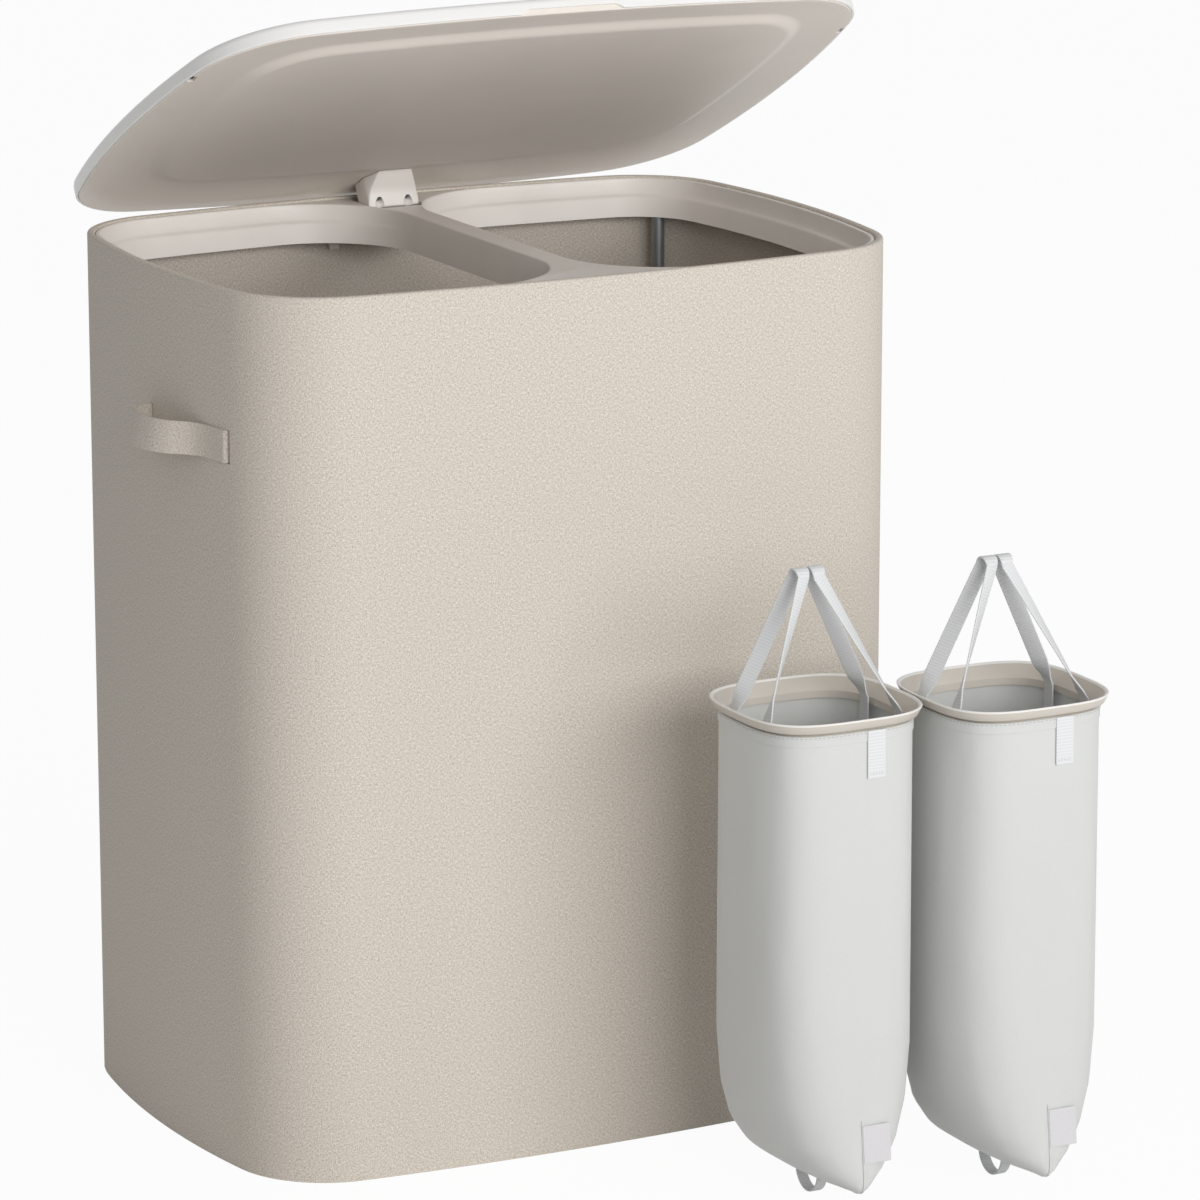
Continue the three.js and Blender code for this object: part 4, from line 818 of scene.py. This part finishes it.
panel_floor = LID_UNDERSIDE + PANEL_WALL
panel_top = LID_UNDERSIDE + PANEL_RIM
panel_rings = [field_ring(FIELD_BEVEL + 30, LID_UNDERSIDE - FIELD_RISE)]
panel_rings += field_side(LID_UNDERSIDE, 0)[::-1]
panel_rings += [body_ring(PANEL_INSET + PANEL_EDGE + 6, LID_UNDERSIDE)]
for i in range(EDGE_STEPS + 1):
    angle = math.radians(90 * i / EDGE_STEPS)
    panel_rings.append(body_ring(PANEL_INSET + PANEL_EDGE * (1 - math.sin(angle)),
                                 LID_UNDERSIDE + EDGE_DROP * (1 - math.cos(angle))))
panel_rings += [body_ring(PANEL_INSET, panel_top), body_ring(PANEL_INSET + PANEL_WALL, panel_top),
                body_ring(PANEL_INSET + PANEL_WALL, panel_floor)]
panel_rings += field_side(panel_floor, PANEL_WALL)
lid_panel = skin("lid_panel_moulding", panel_rings)
print("panel skin has", len(panel_rings), "rings")

# %% [markdown]
# Two bosses on the panel's hidden side take the screws, which lean back into the lid. Two notches
# in the panel's side edges let the shell snap on.

# %% Screw bosses and snap notches of the panel
SCREW_PLACES, SCREW_HEIGHT, SCREW_ANGLE = (-12.5, 12.5), 0.5, math.radians(58)
foot_slope = BLOCK_FOOT_BEVEL / (BLOCK_FOOT + KNUCKLE)
SCREW_Y = BLOCK_FRONT + BLOCK_SLOPE + foot_slope * (BLOCK_FOOT - SCREW_HEIGHT)
screw_way = Vector((0, math.cos(SCREW_ANGLE), math.sin(SCREW_ANGLE)))
HEAD_RADIUS, HEAD, SINK, SHANK_RADIUS, SHANK = 2.3, 1.8, 5, 1.4, 24


def along_screw(piece, x):
    spot = Vector((x, SCREW_Y, AXIS_Z + SCREW_HEIGHT)) * MM
    lean = screw_way.to_track_quat("Z", "X").to_matrix().to_4x4()
    piece.data.transform(Matrix.Translation(spot) @ lean)
    return piece


def screw_drill(x):
    return along_screw(drill(SHANK_RADIUS, 0, SINK + SHANK + FIT_GAP), x)


BOSS_RADIUS, BOSS_SINK, BOSS_HEIGHT, BOSS_BACK = 5, 1.1, 4.5, 2.5
boss_profile = [(BOSS_RADIUS, panel_floor - BOSS_SINK), (BOSS_RADIUS, panel_floor + BOSS_HEIGHT)]
boss_y = SCREW_Y + screw_way.y * (SINK + SHANK - BOSS_BACK)
worked(lid_panel, "UNION", *(moved(turned("boss", boss_profile), x, boss_y) for x in SCREW_PLACES))
cuts = [screw_drill(x) for x in SCREW_PLACES]
SNAP_PLACE, SNAP_HALF, SNAP_DEPTH = 118, 5, 4
for hand, _ in SIDES:
    edge = hand * (side.x + math.sqrt(side_radius**2 - SNAP_PLACE**2) - PANEL_INSET)
    low = (edge - SNAP_DEPTH, -SNAP_PLACE - SNAP_HALF, LID_UNDERSIDE - OVERLAP)
    high = (edge + SNAP_DEPTH, SNAP_HALF - SNAP_PLACE, panel_top + OVERLAP)
    cuts.append(block("snap", low, high))
worked(lid_panel, "DIFFERENCE", *cuts)
lid_panel.data.transform(lid_turn)
dress(lid_panel, panel_plastic, "lid", "panel_plastic", "lid_panel")

# %% [markdown]
# The hinge block is a small wedge that two screws hold under the lid. Its side view is extruded,
# cut to the tapered plan and bored. A Bevel modifier then rounds every edge a little, and those
# rounds catch the light as they do on the real moulding.

# %% Hinge block
FACE_TURN, TURN_STEPS, KNUCKLE_STEPS = 4, 6, 12
block_top, block_front = BLOCK_TOP - AXIS_Z, BLOCK_FRONT - AXIS_Y
nose = Vector((block_front, block_top))
face = Vector((block_front + BLOCK_SLOPE, BLOCK_FOOT))
foot = Vector((face.x + BLOCK_FOOT_BEVEL, -KNUCKLE))
to_top = face + (nose - face).normalized() * FACE_TURN
to_foot = face + (foot - face).normalized() * FACE_TURN
side_view = [nose]
for i in range(TURN_STEPS + 1):
    s = i / TURN_STEPS
    side_view.append(to_top * (1 - s) ** 2 + face * 2 * s * (1 - s) + to_foot * s**2)
side_view += [foot, Vector((0, -KNUCKLE))]
for i in range(1, KNUCKLE_STEPS + 1):
    angle = -math.pi / 2 + (math.pi + math.asin(0.1) + math.pi / 2) * i / KNUCKLE_STEPS
    side_view.append(polar(angle, KNUCKLE))
side_view += [Vector((-ARM_REACH, -0.4)), Vector((-ARM_REACH, block_top))]
rings = [[(x, p.x + AXIS_Y, p.y + AXIS_Z) for p in side_view]
         for x in (-BLOCK_HALF - 2, BLOCK_HALF + 2)]
hinge_block = skin("hinge_block_moulding", rings)
plan_cut = pulled("plan", block_plan(0, BLOCK_FRONT, DEPTH / 2), pocket_foot, BLOCK_TOP + OVERLAP)
worked(hinge_block, "INTERSECT", plan_cut)
softened = hinge_block.modifiers.new("soft_edges", "BEVEL")
softened.limit_method = "ANGLE"
softened.angle_limit = math.radians(34)
softened.width = 0.9 * MM
softened.segments = 3
sink_radius = HEAD_RADIUS + 0.6
sink_profile = [(sink_radius + 3, -OVERLAP), (sink_radius + 0.9, -0.4), (sink_radius + 0.3, 0.4),
                (sink_radius, 1.2), (sink_radius, SINK)]
cuts = [along_hinge(drill(PIN_RADIUS, -PIN_HALF, PIN_HALF))]
for x in SCREW_PLACES:
    cuts += [along_screw(turned("sink", sink_profile), x), screw_drill(x)]
worked(hinge_block, "DIFFERENCE", *cuts)
hinge_block.data.transform(lid_turn)
dress(hinge_block, frame_plastic, "lid", "frame_plastic", "hinge_block")

# %% Hinge screws
SLOT_HALF, SLOT_DEPTH = 0.4, 0.9
seat = SINK - FIT_GAP
head_top = seat - HEAD
screw_profile = [(1.2, head_top), (HEAD_RADIUS - 0.4, head_top + 0.15),
                 (HEAD_RADIUS, head_top + 0.7), (HEAD_RADIUS, seat - 0.2),
                 (HEAD_RADIUS - 0.2, seat), (SHANK_RADIUS, seat),
                 (SHANK_RADIUS, SINK + SHANK - 1.5), (0.5, SINK + SHANK)]
for (_, word), x in zip(SIDES, SCREW_PLACES):
    screw = turned("steel_screw_" + word, screw_profile)
    slot = block("slot", (-3, -SLOT_HALF, head_top - 1), (3, SLOT_HALF, head_top + SLOT_DEPTH))
    worked(screw, "DIFFERENCE", slot)
    along_screw(screw, x)
    screw.data.transform(lid_turn)
    dress(screw, zinc, "lid", "tube_steel", "hinge_screw_" + word)

# %% [markdown]
# Straps, tabs and handles are flat bands along a path. A band's section is a rectangle with round
# edges, and it is carried along the path with its width held in a chosen direction.

# %% Band helper
BAND_ROUND, BAND_STEPS = 0.45, 4


def band(name, path, width, thickness, width_at):
    path = [Vector(point) for point in path]
    radius = thickness * BAND_ROUND
    section = []
    for cx, cy, first in ((1, 1, 0), (-1, 1, 90), (-1, -1, 180), (1, -1, 270)):
        for i in range(BAND_STEPS + 1):
            angle = math.radians(first + 90 * i / BAND_STEPS)
            section.append((cx * (width / 2 - radius) + radius * math.cos(angle),
                            cy * (thickness / 2 - radius) + radius * math.sin(angle)))
    rings = []
    for i, point in enumerate(path):
        tangent = (path[min(i + 1, len(path) - 1)] - path[max(i - 1, 0)]).normalized()
        across = Vector(width_at(i / (len(path) - 1)))
        across = (across - tangent * across.dot(tangent)).normalized()
        out = tangent.cross(across)
        rings.append([point + across * a + out * b for a, b in section])
    return skin(name, rings)


def smooth_path(points, steps):
    """A smooth curve through the points, by Catmull and Rom's rule."""
    points = [Vector(p) for p in points]
    ends = [points[0] * 2 - points[1]] + points + [points[-1] * 2 - points[-2]]
    path = []
    for a, b, c, d in zip(ends, ends[1:], ends[2:], ends[3:]):
        for i in range(steps):
            t = i / steps
            path.append(((b * 2) + (c - a) * t + (a * 2 - b * 5 + c * 4 - d) * t**2
                         + (b * 3 - a - c * 3 + d) * t**3) * 0.5)
    return path + [points[-1]]


def stitch_row(name, path, pitch, length, radius):
    """A row of stitches: one small spindle for each, laid along the path."""
    path = [Vector(p) for p in path]
    bm = bmesh.new()
    travelled, next_at = 0.0, pitch / 2
    for a, b in zip(path, path[1:]):
        span = (b - a).length
        while next_at <= travelled + span:
            spot = a.lerp(b, (next_at - travelled) / span)
            way = (b - a).to_track_quat("X", "Z").to_matrix().to_4x4()
            made = bmesh.ops.create_icosphere(bm, subdivisions=1, radius=1)["verts"]
            bmesh.ops.scale(bm, vec=(length / 2 * MM, radius * MM, radius * MM), verts=made)
            bmesh.ops.transform(bm, matrix=Matrix.Translation(spot * MM) @ way, verts=made)
            next_at += pitch
        travelled += span
    return as_piece(name, bm)


print("a band's edge turns in", BAND_STEPS, "steps")

# %% [markdown]
# A handle of doubled linen comes out of one slit in the side wall, lies against it, arches away for
# the hand and goes back in at the other slit. Its lower edge stands a little further out.

# %% Side handles
HANDLE_THICKNESS, HANDLE_BULGE, HANDLE_LEAN = 1.7, 24, 5
handle_rest = FIT_GAP + HANDLE_THICKNESS / 2
handle_inside = -WALL - FIT_GAP - handle_rest
# share of the span, and share of the bulge
handle_shares = [(0.02, -0.02), (0.06, 0), (0.19, 0), (0.27, 0.05), (0.34, 0.17), (0.41, 0.42),
                 (0.48, 0.7), (0.58, 0.92), (0.7, 1), (0.78, 0.99), (0.86, 0.91), (0.93, 0.72),
                 (0.98, 0.36), (1, 0)]
handle_places = [(-SLIT_DEPTH, handle_inside, 0), (0, handle_inside, 0)]
handle_places += [(HANDLE_SPAN * along, handle_rest + HANDLE_BULGE * out, 0)
                  for along, out in handle_shares]
handle_places += [(HANDLE_SPAN, handle_inside, 0), (HANDLE_SPAN + SLIT_DEPTH, handle_inside, 0)]
for hand, word in SIDES:
    path, ways = [], []
    middle = Vector((hand * side.x, 0, HANDLE_TOP - HANDLE_WIDTH / 2))
    for along, out, _ in smooth_path(handle_places, 5):
        angle = handle_angle(along)
        outward = Vector((hand * math.cos(angle), math.sin(angle), 0))
        path.append(outward * (side_radius + out) + middle)
        lean = HANDLE_LEAN * max(out, 0) / HANDLE_BULGE / HANDLE_WIDTH
        ways.append(Vector((0, 0, 1)) - outward * lean)
    handle = band("linen_handle_" + word, path, HANDLE_WIDTH, HANDLE_THICKNESS,
                  lambda s: ways[round(s * (len(ways) - 1))])
    dress(handle, linen, "hamper", "linen", "side_handle_" + word)

# %% [markdown]
# Each bag hangs from a stiff rim. Its section is a rounded rectangle near the top and an ellipse
# lower down, and it is pressed flat into a seam at the bottom. The sections are set at a few
# heights and smoothed between, and the skin goes up the outside and down the inside.

# %% Bag cloth shapes
RIM_WIDTH, RIM_DEPTH, RIM_ROUNDNESS = 140, 139, 0.6
CLOTH_INSET, CLOTH_WALL = 6.5, 1.6
CLOTH_WIDTH, CLOTH_DEPTH = RIM_WIDTH - 2 * CLOTH_INSET, RIM_DEPTH - 2 * CLOTH_INSET
SEAM_HEIGHT, SEAM_THICKNESS, CLOTH_TOP = 18, 3.4, RIM_HEIGHT - 10.3
HEM_FOOT, HEM_SWELL = RIM_HEIGHT - 18.5, 0.7
BAG_X, BAG_Y, BAG_STEP, BAG_STAGGER = 86, -DEPTH / 2 - 164, RIM_WIDTH + 2, 31
BAGS = {"bag_left": (BAG_X, BAG_Y), "bag_right": (BAG_X + BAG_STEP, BAG_Y - BAG_STAGGER)}
OVAL_STEPS, CLOTH_STEPS = 96, 44
# share of the height, shares of the top's width and depth, and roundness
section_shares = [(0, SEAM_THICKNESS / CLOTH_WIDTH, 1.08, 1), (0.004, 0.1, 1.15, 1),
                  (0.01, 0.2, 1.21, 0.98), (0.02, 0.35, 1.25, 0.95),
                  (0.05, 0.6, 1.25, 0.88), (0.1, 0.8, 1.22, 0.8), (0.18, 0.93, 1.17, 0.72),
                  (0.3, 0.99, 1.11, 0.65), (0.5, 1, 1.04, 0.61), (1, 1, 1, RIM_ROUNDNESS)]


def oval(width, depth, roundness, z):
    """An ellipse where roundness is 1, which nears a rectangle as it falls."""
    points = []
    for i in range(OVAL_STEPS):
        angle = 2 * math.pi * i / OVAL_STEPS
        c, s = math.cos(angle), math.sin(angle)
        points.append((width / 2 * math.copysign(abs(c) ** roundness, c),
                       depth / 2 * math.copysign(abs(s) ** roundness, s), z))
    return points


def value_at(table, share):
    """What a table of (share, values) rows gives between its rows."""
    for (low, *before), (high, *after) in zip(table, table[1:]):
        if share <= high:
            mix = (share - low) / (high - low)
            return [a + (b - a) * mix for a, b in zip(before, after)]


def cloth_at(z):
    share = min(max((z - SEAM_HEIGHT) / (CLOTH_TOP - SEAM_HEIGHT), 0), 1)
    width, depth, roundness = value_at(section_shares, share)
    return width * CLOTH_WIDTH, depth * CLOTH_DEPTH, roundness


def cloth_rings(wall, floor_z):
    """Rings from the floor up. The outside is a little thicker where the hem is folded double."""
    heights = [floor_z + (HEM_FOOT - floor_z) * (i / CLOTH_STEPS) ** 1.5
               for i in range(CLOTH_STEPS + 1)]
    heights += [HEM_FOOT + 0.4, HEM_FOOT + 1, CLOTH_TOP - 0.4]
    rings = []
    for z in heights:
        width, depth, roundness = cloth_at(z)
        inset = 2 * wall if wall or z <= HEM_FOOT else -2 * HEM_SWELL
        rings.append(oval(max(width - inset, 1.2), depth - inset, roundness, z))
    return rings


print("cloth is", CLOTH_WIDTH, "by", CLOTH_DEPTH, "mm at the top")

# %% Bags
# inset from the rim's outer edge, and depth below its top
rim_section = [(3, 7.3), (0.3, 1.2), (0.1, 0.6), (0.5, 0.1), (1.2, 0), (1.9, 0.3), (2.6, 1.2),
               (9.6, 9.6), (10.3, 10.6), (10.4, 16), (8.4, 16), (8.4, 10.3), (7.6, 9.2), (4, 7.4),
               (3.4, 7.6)]


def dress_bag(bag, piece, finish, slot, *stands_for):
    moved(piece, *BAGS[bag])
    dress(piece, finish, bag, slot, *(bag + ending for ending in stands_for))


for bag in BAGS:
    outside = cloth_rings(0, SEAM_HEIGHT)
    inside = cloth_rings(CLOTH_WALL, SEAM_HEIGHT + 6)
    lip = oval(CLOTH_WIDTH - CLOTH_WALL, CLOTH_DEPTH - CLOTH_WALL, RIM_ROUNDNESS, CLOTH_TOP)
    cloth = skin(bag + "_sewn_cloth", outside + [lip] + inside[::-1])
    dress_bag(bag, cloth, bag_cloth, "bag_cloth", "_cloth")
    rings = [oval(RIM_WIDTH - 2 * inset, RIM_DEPTH - 2 * inset, RIM_ROUNDNESS, RIM_HEIGHT - depth)
             for inset, depth in rim_section]
    rim = skin(bag + "_moulded_rim", rings, True)
    dress_bag(bag, rim, rim_plastic, "frame_plastic", "_rim")

# %% [markdown]
# Each bag has two loops of webbing. A loop's legs rise from the rim's neck and lean to the bag's
# middle, and each turns a quarter on its way, so that the loop's top lies across.

# %% Strap loops
NECK_INSET, RIM_WALL = CLOTH_INSET + CLOTH_WALL + FIT_GAP, 2
STRAP_WIDTH, STRAP_THICKNESS, STRAP_SPACING = 12, 1.4, 50
STRAP_TOP, STRAP_RISE, STRAP_SIDE = 12, 101, -8
LEG_STEPS, BEND_STEPS = 16, 12
# share of the loop's length, and share of the half turn
turn_shares = [(0, 0), (0.04, 0), (0.083, 0.155), (0.5, 0.5), (0.917, 0.655), (0.96, 1), (1, 1)]


def strap_width_at(share):
    turn = math.pi * value_at(turn_shares, share)[0]
    return math.sin(turn), math.cos(turn), 0


def strap_loop(name, hand):
    neck_width = RIM_WIDTH / 2 - NECK_INSET - RIM_WALL
    neck_depth = RIM_DEPTH / 2 - NECK_INSET - RIM_WALL
    aside = (STRAP_SPACING + STRAP_WIDTH) / 2 / neck_depth
    reach = neck_width * (1 - aside ** (2 / RIM_ROUNDNESS)) ** (RIM_ROUNDNESS / 2)
    foot_x = reach - 0.6 - STRAP_THICKNESS / 2
    top_x = (1 + STRAP_WIDTH) / 2 + hand * STRAP_SIDE
    bend = STRAP_TOP / 2
    bend_z = RIM_HEIGHT + STRAP_RISE - bend - STRAP_THICKNESS / 2
    leg = [Vector((foot_x, -STRAP_SPACING / 2, RIM_HEIGHT - 34))]
    low = Vector((foot_x, -STRAP_SPACING / 2, RIM_HEIGHT - 10))
    high = Vector((top_x, -bend, bend_z))
    for i in range(LEG_STEPS):
        leg.append(low.lerp(high, i / LEG_STEPS))
    path = list(leg)
    for i in range(BEND_STEPS + 1):
        angle = math.pi * (1 - i / BEND_STEPS)
        path.append(Vector((top_x, bend * math.cos(angle), bend_z + bend * math.sin(angle))))
    path += [Vector((p.x, -p.y, p.z)) for p in reversed(leg)]
    path = [(hand * p.x, p.y, p.z) for p in path]
    return band(name, path, STRAP_WIDTH, STRAP_THICKNESS, strap_width_at)


for bag in BAGS:
    for hand, word in SIDES:
        strap = strap_loop(bag + "_webbing_" + word, hand)
        dress_bag(bag, strap, webbing, "webbing", "_strap_" + word)

# %% [markdown]
# The small sewn parts: a tab under the rim, a bare label in the front seam, the pull loop under the
# bag, a rib of cloth over both upright seams, and rows of stitches along the hem and the tab.

# %% Tabs, labels and pull loops
TAB_X, TAB_WIDTH, TAB_LENGTH, TAB_THICKNESS = 15, 15, 36, 1.2
LABEL_FOOT, LABEL_LENGTH, LABEL_WIDTH, LABEL_THICKNESS = 44, 28.5, 23, 0.8
PULL_SPAN, PULL_WIDTH, PULL_THICKNESS, PULL_STEPS = 34, 9, 1.5, 28
label_top = LABEL_FOOT + LABEL_LENGTH


def across(share):
    return 1, 0, 0


def front_strip(name, x, z0, z1, width, thickness, hand=-1, steps=12):
    path = []
    for i in range(steps + 1):
        z = z0 + (z1 - z0) * i / steps
        path.append((x, hand * (cloth_at(z)[1] / 2 + FIT_GAP + thickness / 2), z))
    return band(name, path, width, thickness, across)


for bag in BAGS:
    tab = front_strip(bag + "_webbing_tab", TAB_X, CLOTH_TOP, CLOTH_TOP - TAB_LENGTH, TAB_WIDTH,
                      TAB_THICKNESS)
    dress_bag(bag, tab, webbing, "webbing", "_tab")
    label = front_strip(bag + "_woven_label", LABEL_WIDTH / 2, label_top, LABEL_FOOT, LABEL_WIDTH,
                        LABEL_THICKNESS)
    dress_bag(bag, label, label_satin, "webbing", "_label")
    pull_top = SEAM_HEIGHT - FIT_GAP
    half = (PULL_SPAN - PULL_THICKNESS) / 2
    drop = pull_top - PULL_THICKNESS / 2
    turns = [math.pi * i / PULL_STEPS for i in range(PULL_STEPS + 1)]
    path = [(0, -half * math.cos(turn), pull_top - drop * math.sin(turn)) for turn in turns]
    pull = band(bag + "_webbing_pull", path, PULL_WIDTH, PULL_THICKNESS, across)
    dress_bag(bag, pull, webbing, "webbing", "_pull_loop")

# %% Seams and stitches
RIB_WIDTH, RIB_THICKNESS, RIB_SINK, RIB_STEPS = 1.6, 0.8, 0.45, 30
hem_z, hem_gap = CLOTH_TOP - 1.4, HEM_SWELL + 0.1
hem_width, hem_depth, hem_roundness = cloth_at(hem_z)
hem_line = oval(hem_width + 2 * hem_gap, hem_depth + 2 * hem_gap, hem_roundness, hem_z)
tab_z = CLOTH_TOP - TAB_LENGTH + 3.5
tab_y = -cloth_at(tab_z)[1] / 2 - FIT_GAP - TAB_THICKNESS - 0.1
tab_line = [(TAB_X + aside * (TAB_WIDTH / 2 - 1), tab_y, tab_z) for aside in (-1, 1)]
for bag in BAGS:
    for hand, word in ENDS:
        rib = front_strip(bag + "_seam_" + word, 0, label_top + 4, SEAM_HEIGHT + 2, RIB_WIDTH,
                          RIB_THICKNESS, hand, RIB_STEPS)
        dress_bag(bag, moved(rib, 0, -hand * RIB_SINK), bag_cloth, "bag_cloth")
    hem_stitches = stitch_row(bag + "_hem_stitches", hem_line + hem_line[:1], 3.4, 2.3, 0.28)
    dress_bag(bag, hem_stitches, thread, "bag_cloth")
    tab_stitches = stitch_row(bag + "_tab_stitches", tab_line, 2.4, 1.7, 0.25)
    dress_bag(bag, tab_stitches, thread, "webbing")

# %% [markdown]
# The base tray keeps its CAD mesh, because its ribs and sockets are right as they are. It gets the
# frame's moulded finish.

# %% Base tray finish
tray_mesh = nodes["base_tray"].data
tray_mesh.materials.clear()
tray_mesh.materials.append(frame_plastic)
print("base tray wears", tray_mesh.materials[0].name)
